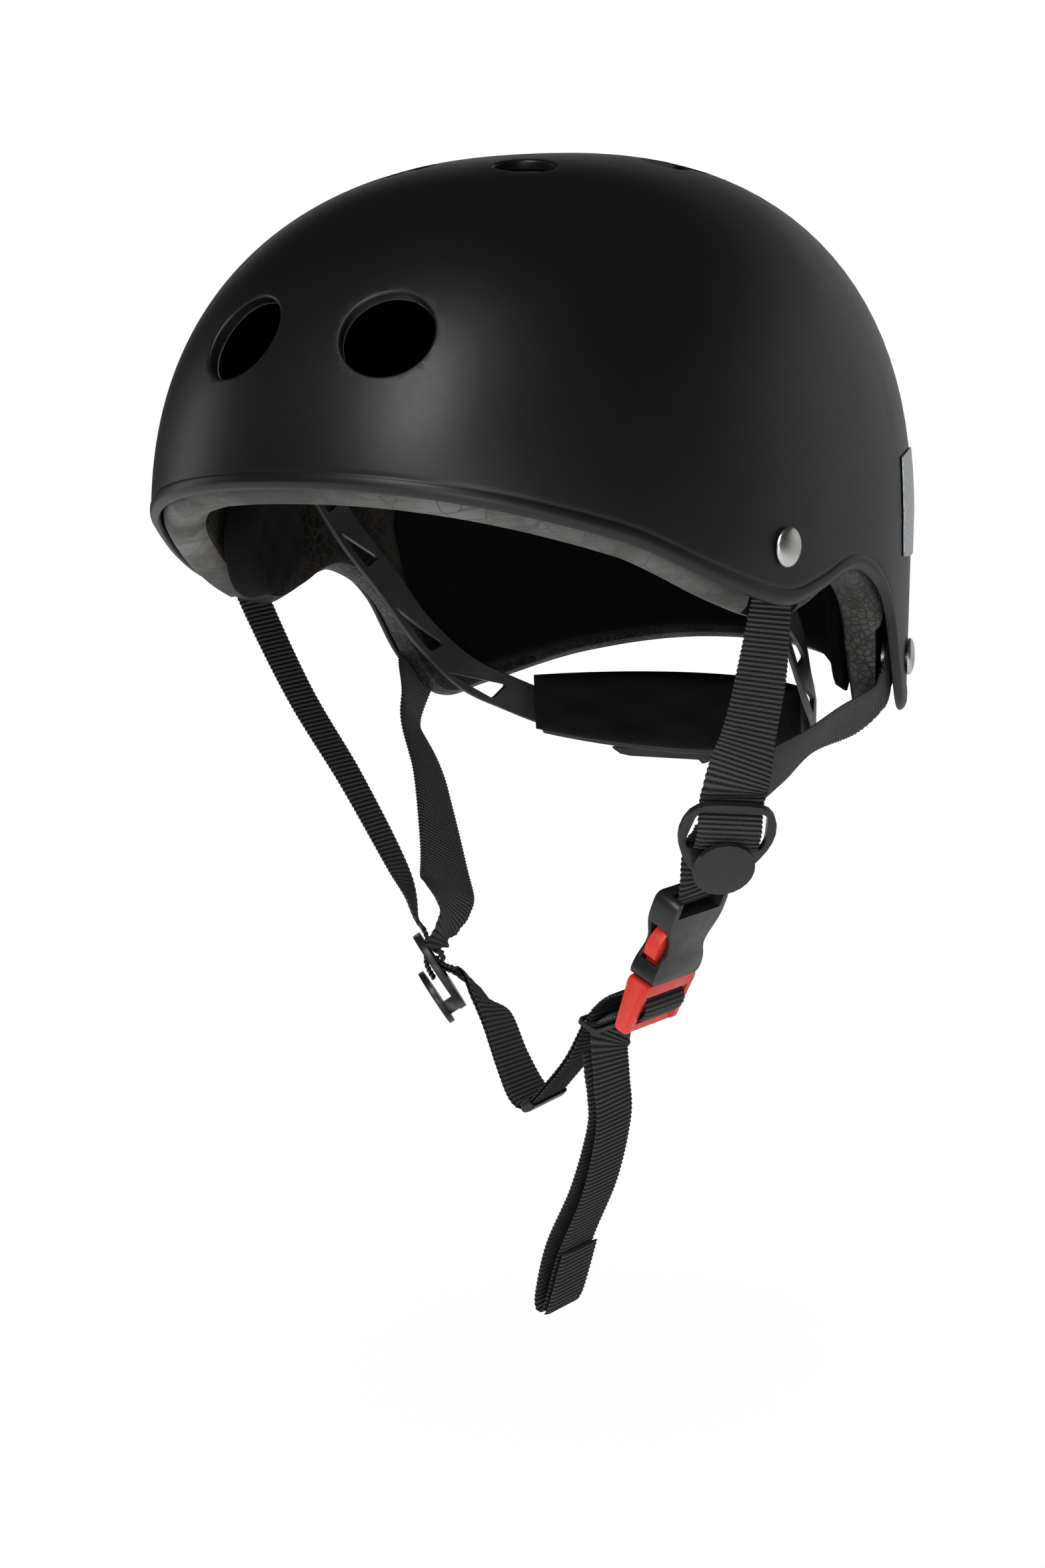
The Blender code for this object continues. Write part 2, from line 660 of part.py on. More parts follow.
def make_cradle():
    """Cradle plate and its foam, then the cover behind it."""
    arc_wall(
        "cradle_frame", FITTING_BLACK, CRADLE_ARC, CRADLE_PLATE, CRADLE_HEIGHT, CRADLE_Z, CRADLE_HALF_ANGLE,
        CRADLE_SAG, (16, 2),
    )
    arc_wall(
        "cradle_pad", PAD_BLACK, CRADLE_ARC - GAP - CRADLE_PAD_WALL, CRADLE_PAD_WALL, CRADLE_PAD_HEIGHT,
        CRADLE_PAD_Z, CRADLE_PAD_HALF_ANGLE, CRADLE_SAG, (16, 3),
    )
    # In the cover's frame x is to the wearer's right, y is up and z is to the back.
    matrix = axes_matrix((0, CRADLE_BACK + CRADLE_PLATE + GAP, DIAL_Z), (-1, 0, 0), (0, 0, 1))
    half_w, half_h = COVER_WIDTH / 2, COVER_HEIGHT / 2
    outline = rounded(rectangle(-half_w, -half_h, half_w, half_h), COVER_CORNER, 4)
    cover = plate("cradle_cover", matrix, [outline], 0, COVER_DEPTH, FITTING_BLACK)
    lane = PINION_PITCH_RADIUS + TOOTH_REACH + RACK_BACK + GAP
    inside = block(
        "cover_inside", matrix, (-COVER_WIDTH, -lane, -1), (COVER_WIDTH, lane, COVER_DEPTH - COVER_WALL),
        cutter=True,
    )
    combine(cover, inside)
    combine(cover, rod("cover_bore", matrix, SHAFT_RADIUS + GAP, 1, 2 * COVER_DEPTH, 20, cutter=True))
    return matrix


def make_dial(matrix):
    """Knob with its shaft and pinion, and the two racks in mesh with it."""
    rim = []
    for k in range(DIAL_LOBES * 4):
        a = 2 * math.pi * k / (DIAL_LOBES * 4)
        r = DIAL_RADIUS + DIAL_LOBE_DEPTH * math.cos(DIAL_LOBES * a)
        rim.append((r * math.cos(a), r * math.sin(a)))
    foot = COVER_DEPTH + GAP
    knob = plate("dial_knob", matrix, [rim], foot, foot + DIAL_DEPTH, FITTING_BLACK)
    shaft = rod("dial_shaft", matrix, SHAFT_RADIUS, SHAFT_FOOT, foot + SHAFT_ROOT, 20, cutter=True)
    combine(knob, shaft, "UNION")
    teeth = gear_outline(PINION_TEETH, PINION_PITCH_RADIUS, TOOTH_REACH, TOOTH_HALF_WIDTH)
    combine(knob, plate("dial_pinion", matrix, [teeth], *PINION_SPAN, cutter=True), "UNION")
    pitch = 2 * math.pi * PINION_PITCH_RADIUS / PINION_TEETH
    top, back = PINION_PITCH_RADIUS + TOOTH_REACH, PINION_PITCH_RADIUS + TOOTH_REACH + RACK_BACK
    for side, sign in SIDES:
        bar = [(RACK_INNER_END, back), (-RACK_OUTER_END, back), (-RACK_OUTER_END, top)]
        for k in range(-RACK_TEETH // 2 - 1, RACK_TEETH // 2 - 1):
            x = (k + 0.5) * pitch
            for height, width in TOOTH:
                bar.append((x + width * TOOTH_HALF_WIDTH, PINION_PITCH_RADIUS - height * TOOTH_REACH))
        bar.append((RACK_INNER_END, top))
        # The left rack lies on top of the pinion and the right one under it, turned half round.
        turned_bar = [(x * sign, y * sign) for x, y in bar]
        plate(f"rack_{side}", matrix, [turned_bar], RACK_FOOT, RACK_FOOT + RACK_WALL, FITTING_BLACK)


def make_divider(name, where):
    """A strap divider: a frame with a window, and a disc hooked in front of its lower bar."""
    origin, down, across = where
    matrix = axes_matrix(origin, across, down)
    frame = rounded(both_halves(DIVIDER_FRAME), 8, 4)
    window = rounded(both_halves(DIVIDER_WINDOW), 2.5, 3)
    body = plate(name, matrix, [frame, window], -DIVIDER_WALL / 2, DIVIDER_WALL / 2, FITTING_BLACK)
    centre = matrix @ Matrix.Translation(Vector((0, DISC_DROP, 0)) * MM)
    disc = rod(name + "_disc", centre, DISC_RADIUS, DISC_LIFT, DISC_LIFT + DISC_WALL, 24, cutter=True)
    neck = block(name + "_neck", matrix, *NECK, cutter=True)
    combine(body, neck, "UNION")
    combine(body, disc, "UNION")
    return matrix


def on_matrix(matrix, x, y, z):
    """A frame's point, in millimetres of the world."""
    return matrix @ (Vector((x, y, z)) * MM) / MM


def steady(route):
    """The same route with no width direction turned over."""
    out = []
    for point, across in route:
        across = Vector(across).normalized()
        if out and across.dot(out[-1][1]) < 0:
            across = -across
        out.append((Vector(point), across))
    return out


# Free stretches of the side straps: middle and width direction
STRAP_ROUTES = {
    ("front", "left"): (
        ((94.0, -39.5, -8.5), (0.35, 0.93, 0.0)), ((91.0, -43.5, -27.0), (0.45, 0.88, 0.0)),
    ),
    ("front", "right"): (
        ((-79.2, -33.9, -19.7), (-0.2, 0.98, 0.0)), ((-60.3, -32.5, -49.5), (-0.25, 0.97, 0.0)),
        ((-43.8, -31.5, -79.0), (-0.35, 0.93, 0.0)),
    ),
    ("rear", "left"): (
        ((88.5, 43.0, -31.0), (0.5, -0.15, 0.85)), ((86.5, 18.0, -33.8), (0.6, -0.2, 0.77)),
        ((86.5, -5.0, -38.6), (0.5, -0.4, 0.8)),
    ),
    ("rear", "right"): (
        ((-81.0, 35.0, -39.3), (-0.3, 0.95, 0.1)), ((-63.6, 18.7, -58.0), (-0.25, 0.97, 0.0)),
        ((-43.4, -5.7, -81.0), (-0.05, 1.0, 0.0)), ((-33.2, -20.5, -88.6), (-0.08, 1.0, 0.0)),
        ((-29.6, -26.8, -93.4), (-0.35, 0.93, -0.05)),
    ),
}
# Each strap's end at the rivet: how far each point turns from it in degrees, climbs and keeps off the shell
STRAP_HEADS = {
    "front": ((0, 10, 0.0), (0, 0, 0.0), (0, -13, 0.3)),
    "rear": ((4, 7, 0.3), (0, 0, 0.3), (-5, -8, 0.8)),
}
# The lower strap's way out of a divider's window and behind its lower bar: along and through it
DIVIDER_THREAD = ((-4.4, -0.9), (-2.2, -1.2), (0.2, -2.4), (2.6, -4.1), (7.8, -5.9))
# The same strap's way over the socket's bar and into its slot
SOCKET_THREAD = ((-33.2, 0.6), (-29.3, 1.4), (-26.8, 0.6), (-25.9, -1.6))
# Each strap's end in the divider: rearward, along and through it, and its width direction there
FRONT_END = (
    ((0, -19, -3), (0, -14, -3), (0, -10.6, -2.2), (0, -8, -0.1), (0, -5, 2.0), (0, -2, 2.7), (0, 1, 2.8)),
    (1.0, 0.0),
)
STRAP_ENDS = {
    ("front", "left"): FRONT_END,
    ("front", "right"): FRONT_END,
    ("rear", "left"): (((13, -10.5, -17), (8, -9.5, -10.5), (3, -8.5, -6.6)), (0.1, 0.99)),
    ("rear", "right"): (((0.5, -11.5, -9.0), (0, -8.8, -6.0), (0, -7, -3.6)), (1.0, 0.0)),
}


def make_straps(holes, dividers):
    """Front and rear straps from the rivets to the dividers."""
    for side, sign in SIDES:
        divider = dividers[side]
        for label, (degrees, height) in (("front", FRONT_RIVET), ("rear", REAR_RIVET)):
            spots = []
            for turn, rise, off in STRAP_HEADS[label]:
                spots.append(on_skin((degrees + turn) * sign, height + rise, WEB_INSET + off))
            outward = Vector(skin_matrix(degrees * sign, height).col[2][:3])
            across = outward.cross(spots[-1] - spots[0]).normalized()
            route = [(spot, across) for spot in spots]
            route += STRAP_ROUTES[label, side]
            ends, (rearward, down) = STRAP_ENDS[label, side]
            width = (divider.col[0] * -sign * rearward + divider.col[1] * down)[:3]
            route += [(on_matrix(divider, -sign * x, y, z), width) for x, y, z in ends]
            combine(ribbon(f"strap_{label}_{side}", WEB_BLACK, steady(route)), holes[label, side])


def make_buckle():
    """Socket, plug and prongs. The buckle's z points outward."""
    matrix = axes_matrix(BUCKLE_MOUTH, BUCKLE_ACROSS, BUCKLE_AXIS)
    half_d = SOCKET_DEPTH / 2
    outline = rounded(both_halves(SOCKET_HALF), 3, 3)
    socket = plate("buckle_socket", matrix, [outline], -half_d, half_d, FITTING_BLACK)
    for label, corners in SOCKET_CUTS.items():
        combine(socket, block(f"socket_{label}", matrix, *corners, cutter=True))

    w, inner, wall = PLUG_HALF_WIDTH, PLUG_INNER_WIDTH, PLUG_WALL / 2
    base = rounded(rectangle(-w, GAP, w, PLUG_LENGTH), 2.5, 3)
    slots = [rounded(rectangle(-inner, y0, inner, y1), 0.8, 2) for y0, y1 in PLUG_SLOTS]
    plug = plate("buckle_plug", matrix, [base, *slots], -wall, wall, BUCKLE_RED)
    w, d, end = PLUG_HALF_WIDTH - GAP, SHOULDER_HALF_DEPTH, RAIL_END_HALF_DEPTH
    shoulder = rounded(rectangle(-w, GAP, w, SHOULDER_LENGTH), 1.6, 3)
    combine(plug, plate("plug_shoulder", matrix, [shoulder], -d, d, cutter=True), "UNION")
    # The rails stand deeper than the frame and are drawn from the side: x along the buckle and y through it.
    from_side = matrix @ Matrix(((0, 0, 1, 0), (1, 0, 0, 0), (0, 1, 0, 0), (0, 0, 0, 1)))
    rail = rounded([(GAP, -d), (PLUG_LENGTH, -end), (PLUG_LENGTH, end), (GAP, d)], 1.6, 3)
    for sign in (1, -1):
        x0, x1 = sorted((inner * sign, (w + GAP / 2) * sign))
        combine(plug, plate(f"plug_rail_{sign}", from_side, [rail], x0, x1, cutter=True), "UNION")
    combine(plug, block("plug_tongue", matrix, *TONGUE, cutter=True), "UNION")
    (inside, foot, back), (outside, top, front) = NOTCH
    for sign in (1, -1):
        x0, x1 = sorted((inside * sign, outside * sign))
        combine(plug, block(f"plug_notch_{sign}", matrix, (x0, foot, back), (x1, top, front), cutter=True))
    for side, sign in (("front", 1), ("rear", -1)):
        shape = [(x * sign, y) for x, y in rounded(PRONG, 1.8, 3)]
        plate(f"buckle_prong_{side}", matrix, [shape], -PRONG_HALF_DEPTH, PRONG_HALF_DEPTH, BUCKLE_RED)
    return matrix


# The webbing loop on the plug's bar: along the buckle and through it
ROLL_ROUTE = (
    (21.6, -9.6), (18.6, -7.2), (15.8, -3.4), (14.6, 0.2), (13.2, 3.4), (10.2, 4.6), (7.4, 3.4), (6.2, 0.2),
    (7.2, -3.0), (10.5, -7.2), (15.0, -11.2), (20.2, -13.6),
)
# Both layers of the loop as they pass the ring, where the chin strap and the tail go on
RING_AT = (25.2, -12.7)
RING_LENGTH = 1.8
CHIN_HEAD = ((21.4, -13.6), (25.2, -13.75), (28.0, -14.7))
TAIL_HEAD = ((22.4, -10.1), (25.2, -10.9), (27.8, -10.5))
# Chin strap from the ring through the keeper to the right divider
CHIN_ROUTE = (
    ((24.5, -36.0, -131.4), (0.0, 1.0, 0.0)), ((15.7, -36.0, -141.5), (0.0, 1.0, 0.0)),
    ((9.0, -36.0, -147.8), (0.0, 1.0, 0.0)), ((4.0, -36.0, -146.0), (0.0, 1.0, 0.0)),
    ((-1.7, -35.5, -135.8), (-0.1, 1.0, 0.0)), ((-7.6, -34.5, -122.8), (-0.2, 1.0, 0.0)),
    ((-14.5, -33.0, -116.6), (-0.58, 0.8, -0.1)),
)
CHIN_WALL = 2.2
KEEPER_PLACE = 0.35
KEEPER_LENGTH = 4.4
# Tail from the ring down to its folded end and up again behind itself
TAIL_ROUTE = (
    (35.6, -37.0, -128.0), (36.5, -38.0, -139.3), (36.5, -38.0, -152.3), (30.7, -38.0, -173.3),
    (20.8, -38.0, -194.3), (15.4, -38.0, -210.3), (13.8, -38.0, -213.9), (11.6, -38.0, -213.3),
    (11.9, -38.0, -207.3), (16.6, -38.0, -191.3), (26.6, -38.0, -171.3), (33.4, -38.0, -151.3),
    (33.9, -38.0, -141.3), (33.2, -38.0, -134.3), (32.7, -37.6, -128.0),
)


def make_webbing(dividers, buckle):
    """Webbing on the buckle, the rubber ring, the chin strap with its keeper, and the folded tail."""
    across = Vector(buckle.col[0][:3])
    left, right = dividers["left"], dividers["right"]
    lead = [(on_matrix(left, 0, y, z), left.col[0][:3]) for y, z in DIVIDER_THREAD]
    lead += [(on_matrix(buckle, 0, y, z), across) for y, z in SOCKET_THREAD]
    ribbon("strap_socket", WEB_BLACK, steady(lead))
    ribbon("strap_roll", WEB_BLACK, [(on_matrix(buckle, 0, y, z), across) for y, z in ROLL_ROUTE], steps=2)

    ring_at = on_matrix(buckle, 0, *RING_AT)
    heading = on_matrix(buckle, 0, *CHIN_HEAD[1]) - on_matrix(buckle, 0, *CHIN_HEAD[0])
    ring = axes_matrix(ring_at, across, heading.cross(across))
    half = WEB_WIDTH / 2 + LOOP_PLAY
    ring_plate("strap_ring", ring, RUBBER_BLACK, half, RING_HALF_HEIGHT, RING_WALL, RING_LENGTH)

    chin = [(on_matrix(buckle, 0, y, z), across) for y, z in CHIN_HEAD]
    chin += CHIN_ROUTE
    chin += [(on_matrix(right, 0, y, z), right.col[0][:3]) for y, z in reversed(DIVIDER_THREAD)]
    chin = steady(chin)
    ribbon("strap_chin", WEB_BLACK, chin, wall=CHIN_WALL)
    middle, way, width = along_route(chin, KEEPER_PLACE)
    keeper = axes_matrix(middle, width, way.cross(width))
    thick = CHIN_WALL / 2 + KEEPER_PLAY
    ring_plate("strap_keeper", keeper, FITTING_BLACK, half, thick, KEEPER_WALL, KEEPER_LENGTH)

    tail = [(on_matrix(buckle, 0, y, z), across) for y, z in TAIL_HEAD]
    tail += [(p, (0.05, 1.0, 0.0)) for p in TAIL_ROUTE]
    ribbon("strap_tail", WEB_BLACK, steady(tail), steps=2)


def main():
    shell, liner = make_cap()
    holes = make_rivets(shell, liner)
    make_pads()
    make_bands()
    make_dial(make_cradle())
    dividers = {
        "left": make_divider("divider_left", LEFT_DIVIDER),
        "right": make_divider("divider_right", RIGHT_DIVIDER),
    }
    make_straps(holes, dividers)
    make_webbing(dividers, make_buckle())


main()
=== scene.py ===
"""Dressed half-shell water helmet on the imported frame: shell, foam liner, pads, webbing and buckle."""

import math
from functools import partial

import bmesh
import bpy
from mathutils import Matrix, Vector
from mathutils.bvhtree import BVHTree


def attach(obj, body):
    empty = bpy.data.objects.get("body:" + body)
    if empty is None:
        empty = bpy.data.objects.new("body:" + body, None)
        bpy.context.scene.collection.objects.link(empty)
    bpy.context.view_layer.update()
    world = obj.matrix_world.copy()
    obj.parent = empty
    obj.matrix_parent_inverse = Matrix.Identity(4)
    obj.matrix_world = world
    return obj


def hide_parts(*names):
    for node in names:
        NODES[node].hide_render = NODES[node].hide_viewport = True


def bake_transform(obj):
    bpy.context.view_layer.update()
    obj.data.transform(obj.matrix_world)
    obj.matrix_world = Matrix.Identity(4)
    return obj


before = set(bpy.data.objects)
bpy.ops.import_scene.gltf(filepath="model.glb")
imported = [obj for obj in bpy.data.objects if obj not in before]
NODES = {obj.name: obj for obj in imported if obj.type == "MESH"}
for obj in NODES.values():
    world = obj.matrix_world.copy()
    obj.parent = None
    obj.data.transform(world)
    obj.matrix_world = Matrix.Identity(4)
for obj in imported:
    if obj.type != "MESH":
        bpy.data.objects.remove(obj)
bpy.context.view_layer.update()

MM = 0.001
SIDES = (("left", 1), ("right", -1))
ROUND_SIDES = 64

# The part's own sizes, in millimetres
GAP = 0.35
HALF_WIDTH = 104.6
HALF_LENGTH = 139.0
FRONT_EXTRA = 9.0
DOME_HEIGHT = 116.9
WIDEST_Z = 30.6
SKIRT_DEPTH = 70.0
SKIRT_TAPER = 0.032
PLAN_POWER = 2.265
CROWN_POWER = 2.37
SHELL_WALL = 2.8
SHELL_EDGE = (
    (0, 57.0), (25, 52.5), (50, 38.5), (67, 21.5), (78, 13.2), (85, 15.3), (91.5, 19.2), (98, 13.5),
    (104, 1.0), (109, -19.0), (115, -32.5), (125, -31.5), (150, -24.0), (180, -20.0),
)
CROWD_ANGLE = 100.0
CROWD = 0.5
LINER_INSET = SHELL_WALL + 0.8
LINER_WALL = 13.0
LINER_RECESS = ((0, -2.3), (75, -2.3), (100, -0.8), (114, 0.5), (180, 3.0))
PAD_INSET = LINER_INSET + LINER_WALL + 1.6
PAD_WALL = 7.0
REAR_PAD_CLEAR = 4.0
POCKET_DEPTH = 5.8
POCKET_RISE = 3.0
POCKETS = {"front": (-13.0, -30.0, 13.0, 17.0), "rear": (-26.0, -30.0, 20.0, 17.0)}
REAR_PAD = (180.0, 76.0)
REAR_PAD_TOP = 46.0
FRONT_PAD = (0.0, 40.0, 61.0, 82.0)
TEMPLE_PAD = (66.0, 13.0, 13.0, 50.0)
TEMPLE_PAD_WALL = 10.0
# Height of the left pad's lower edge, which stays behind the rim
TEMPLE_PAD_RAISED = 26.0
CROWN_PAD = (90.0, 26.0, 84.0, 106.0)
CROWN_PAD_CLEAR = 1.0
FRONT_VENT = (13.3, 98.3, 13.7)
REAR_VENT = (158.0, 88.0, 11.0)
CROWN_VENT = (34.2, 143.5, 9.2)
ROUND_VENTS = {"front": FRONT_VENT, "crown": CROWN_VENT, "rear": REAR_VENT}
SLOT_CENTRE = (38.0, 20.0)
SLOT_LENGTH = 30.0
SLOT_WIDTH = 12.0
SLOT_SPAN = (85.0, 160.0)
VENT_SPAN = (-32.0, 6.0)
FRONT_RIVET = (77.3, 29.8)
REAR_RIVET = (117.0, -17.0)
RIVETS = (("front", FRONT_RIVET), ("rear", REAR_RIVET))
RIVET_HEAD_RADIUS = 6.0
RIVET_HEAD_HEIGHT = 2.2
RIVET_SHANK_RADIUS = 2.9
RIVET_HOLE_RADIUS = 3.4
RIVET_HOLE_SPAN = (-10.0, 4.0)
RIVET_FOOT_RADIUS = 6.4
RIVET_FOOT = 1.0
RIVET_PLAY = 0.3
WEB_WIDTH = 20.0
WEB = 1.5
WEB_INSET = SHELL_WALL + GAP + WEB / 2 + 1.2
CHIN_WALL = 2.2

# Camera
VIEW_AZIMUTH = 31.93
VIEW_ELEVATION = 10.04
VIEW_ROLL = -2.5
VIEW_DISTANCE = 1.0258
VIEW_TARGET_RIGHT = -0.013
VIEW_TARGET_Z = -0.0523
LENS = 72.75


def make_camera():
    """Camera at the photograph's place."""
    az, el, roll = (math.radians(a) for a in (VIEW_AZIMUTH, VIEW_ELEVATION, VIEW_ROLL))
    right = Vector((math.cos(az), math.sin(az), 0))
    back = Vector((math.sin(az) * math.cos(el), -math.cos(az) * math.cos(el), math.sin(el)))
    up = back.cross(right)
    x = right * math.cos(roll) + up * math.sin(roll)
    y = -right * math.sin(roll) + up * math.cos(roll)
    place = right * VIEW_TARGET_RIGHT + Vector((0, 0, VIEW_TARGET_Z)) + back * VIEW_DISTANCE
    data = bpy.data.cameras.new("camera")
    data.lens = LENS
    data.sensor_width = 36
    data.clip_start = 0.05
    camera = bpy.data.objects.new("camera", data)
    bpy.context.scene.collection.objects.link(camera)
    camera.matrix_world = Matrix.Translation(place) @ Matrix((x, y, back)).transposed().to_4x4()
    bpy.context.scene.camera = camera


def lamp(name, place, aim, size, power):
    """A soft box that faces a point and is hidden from the camera."""
    data = bpy.data.lights.new(name, "AREA")
    data.shape = "RECTANGLE"
    data.size, data.size_y = size
    data.energy = power
    made = bpy.data.objects.new(name, data)
    bpy.context.scene.collection.objects.link(made)
    made.location = place
    made.rotation_euler = (Vector(aim) - Vector(place)).to_track_quat("-Z", "Y").to_euler()
    made.visible_camera = False


FLOOR_Z = -0.248
AMBIENT = 0.03
FLOOR_SHADOW = 0.02
FLOOR_FADE = (0.03, 0.18)
FLOOR_RADIUS = 6
FLOOR_GREY = 0.9
FLOOR_ROUGHNESS = 0.9
# Soft boxes: name, place, aim, size and power
LAMPS = (
    ("key", (0.26, -0.98, 0.88), (0, -0.05, 0.07), (0.38, 0.95), 9),
    ("backdrop", (0, 1.45, 0.1), (0, 0, 0.05), (3.6, 1.2), 6.5),
    ("side", (-1.4, -0.25, 0.08), (0, 0, 0.05), (0.5, 1.2), 2.5),
    ("bounce", (0, -0.1, FLOOR_Z + 0.0003), (0, -0.1, 1), (2.0, 2.0), 5),
    ("front", (0.75, -1.15, -0.05), (0, 0, -0.08), (0.5, 0.3), 3),
)


def make_stage():
    """Pale floor, white surroundings and soft boxes."""
    scene = bpy.context.scene
    scene.view_settings.view_transform = "Standard"
    world = bpy.data.worlds.new("studio")
    scene.world = world
    world.use_nodes = True
    tree = world.node_tree
    soft = tree.nodes["Background"]
    soft.inputs["Color"].default_value = (1, 1, 1, 1)
    soft.inputs["Strength"].default_value = AMBIENT
    white = tree.nodes.new("ShaderNodeBackground")
    white.inputs["Color"].default_value = (1, 1, 1, 1)
    path = tree.nodes.new("ShaderNodeLightPath")
    mix = tree.nodes.new("ShaderNodeMixShader")
    tree.links.new(path.outputs["Is Camera Ray"], mix.inputs[0])
    tree.links.new(soft.outputs[0], mix.inputs[1])
    tree.links.new(white.outputs[0], mix.inputs[2])
    tree.links.new(mix.outputs[0], tree.nodes["World Output"].inputs["Surface"])

    look = Look("floor_white", (FLOOR_GREY, FLOOR_GREY, FLOOR_GREY), FLOOR_ROUGHNESS)
    reach = look.node("VectorMath", {0: look.place}, operation="LENGTH").outputs["Value"]
    limits = {"Value": reach, 1: FLOOR_FADE[0], 2: FLOOR_FADE[1], 3: 1 - FLOOR_SHADOW, 4: 1}
    fade = look.node("MapRange", limits, interpolation_type="SMOOTHSTEP").outputs[0]
    seen = look.math("MULTIPLY", look.node("LightPath").outputs["Is Camera Ray"], fade)
    glow = look.node("Emission").outputs[0]
    mix = look.node("MixShader", {0: seen, 1: look.shader.outputs[0], 2: glow})
    look.tree.links.new(mix.outputs[0], look.tree.nodes["Material Output"].inputs["Surface"])
    shape = bmesh.new()
    bmesh.ops.create_circle(shape, cap_ends=True, segments=ROUND_SIDES, radius=FLOOR_RADIUS)
    floor = link("floor", shape, look.material)
    floor.location = (0, 0, FLOOR_Z)

    for values in LAMPS:
        lamp(*values)


# Materials


class Look:
    """A Principled material with short ways to add nodes."""

    def __init__(self, name, colour, roughness, metallic=0.0, **sockets):
        self.material = bpy.data.materials.new(name)
        self.material.use_nodes = True
        self.tree = self.material.node_tree
        self.shader = self.tree.nodes["Principled BSDF"]
        self.shader.inputs["Base Color"].default_value = (*colour, 1)
        self.shader.inputs["Roughness"].default_value = roughness
        self.shader.inputs["Metallic"].default_value = metallic
        for socket, value in sockets.items():
            self.shader.inputs[socket.replace("_", " ")].default_value = value
        coords = self.tree.nodes.new("ShaderNodeTexCoord")
        self.place = coords.outputs["Object"]
        self.uv = coords.outputs["UV"]

    def node(self, kind, inputs=(), **settings):
        made = self.tree.nodes.new("ShaderNode" + kind)
        for key, value in settings.items():
            setattr(made, key, value)
        for key, value in dict(inputs).items():
            if isinstance(value, bpy.types.NodeSocket):
                self.tree.links.new(value, made.inputs[key])
            else:
                made.inputs[key].default_value = value
        return made

    def noise(self, scale, detail=3.0, roughness=0.55, place=None):
        inputs = {"Vector": place or self.place, "Scale": scale, "Detail": detail, "Roughness": roughness}
        return self.node("TexNoise", inputs).outputs["Fac"]

    def stretched(self, scale, place=None):
        """Coordinates scaled by a different amount along each axis."""
        return self.node("Mapping", {"Vector": place or self.place, "Scale": scale}).outputs[0]

    def cells(self, scale, place=None):
        """Distance to the edges of packed cells."""
        inputs = {"Vector": place or self.place, "Scale": scale}
        return self.node("TexVoronoi", inputs, feature="DISTANCE_TO_EDGE").outputs["Distance"]

    def span(self, value, low, high, to_low, to_high):
        """Map a range onto another, clamped."""
        inputs = {"Value": value, 1: low, 2: high, 3: to_low, 4: to_high}
        return self.node("MapRange", inputs).outputs[0]

    def math(self, operation, a, b):
        return self.node("Math", {0: a, 1: b}, operation=operation).outputs[0]

    def mix(self, share, a, b):
        """Colour from a to b."""
        made = self.node("Mix", data_type="RGBA")
        self.tree.links.new(share, made.inputs["Factor"])
        for key, value in ((6, a), (7, b)):
            if isinstance(value, bpy.types.NodeSocket):
                self.tree.links.new(value, made.inputs[key])
            else:
                made.inputs[key].default_value = (*value, 1)
        return made.outputs[2]

    def colour(self, socket):
        self.tree.links.new(socket, self.shader.inputs["Base Color"])

    def rough(self, socket):
        self.tree.links.new(socket, self.shader.inputs["Roughness"])

    def bump(self, *layers):
        """Bump layers of height socket, strength and depth in metres."""
        normal = None
        for height, strength, depth in layers:
            inputs = {"Height": height, "Strength": strength, "Distance": depth}
            if normal:
                inputs["Normal"] = normal
            normal = self.node("Bump", inputs).outputs[0]
        self.tree.links.new(normal, self.shader.inputs["Normal"])
        return self


def shell_look():
    """Satin moulded plastic: fine pebble, a little handling haze and sparse dust."""
    look = Look("shell_satin", (0.006, 0.006, 0.0065), 0.4)
    haze = look.noise(9, 4)
    dust = look.span(look.noise(1500, 1), 0.72, 0.8, 0, 1)
    base = look.mix(look.span(haze, 0.3, 0.7, 0, 1), (0.005, 0.005, 0.0055), (0.007, 0.007, 0.0075))
    look.colour(look.mix(look.math("MULTIPLY", dust, 0.25), base, (0.05, 0.05, 0.05)))
    mottle = look.math("ADD", haze, look.math("MULTIPLY", look.noise(400), 0.3))
    look.rough(look.span(mottle, 0.3, 0.9, 0.34, 0.47))
    return look.bump((look.noise(2600, 2), 0.12, 0.00012), (look.noise(70, 2), 0.05, 0.0006)).material


# Heights, in metres, between which the foam's inside falls into shade
FOAM_SHADE = (0.042, 0.058)
# The same along the length: towards the rear the edge is darker and its beads show
FOAM_BEADED = (-0.07, -0.02)


def foam_look():
    """Moulded bead foam inside the cap: dark beads with paler seams, and painted shade that turns it near
    black towards the crown.
    """
    look = Look("bead_foam", (0.03, 0.028, 0.026), 0.8, Specular_IOR_Level=0.0)
    bead = look.cells(260)
    seam = look.span(bead, 0.0, 0.09, 1, 0)
    patch = look.span(look.noise(38, 5), 0.38, 0.62, 0, 1)
    skin = look.mix(patch, (0.016, 0.015, 0.014), (0.05, 0.047, 0.043))
    skin = look.mix(look.math("MULTIPLY", seam, 0.4), skin, (0.085, 0.08, 0.075))
    # Painted shade: above the heights in FOAM_SHADE the colour goes to near black
    high = look.node("SeparateXYZ", {0: look.place}).outputs[2]
    look.colour(look.mix(look.span(high, *FOAM_SHADE, 0, 1), skin, (0.001, 0.001, 0.001)))
    look.rough(look.span(patch, 0, 1, 0.95, 0.8))
    return look.bump((bead, 0.35, 0.0008), (look.noise(55, 5), 0.35, 0.0022)).material


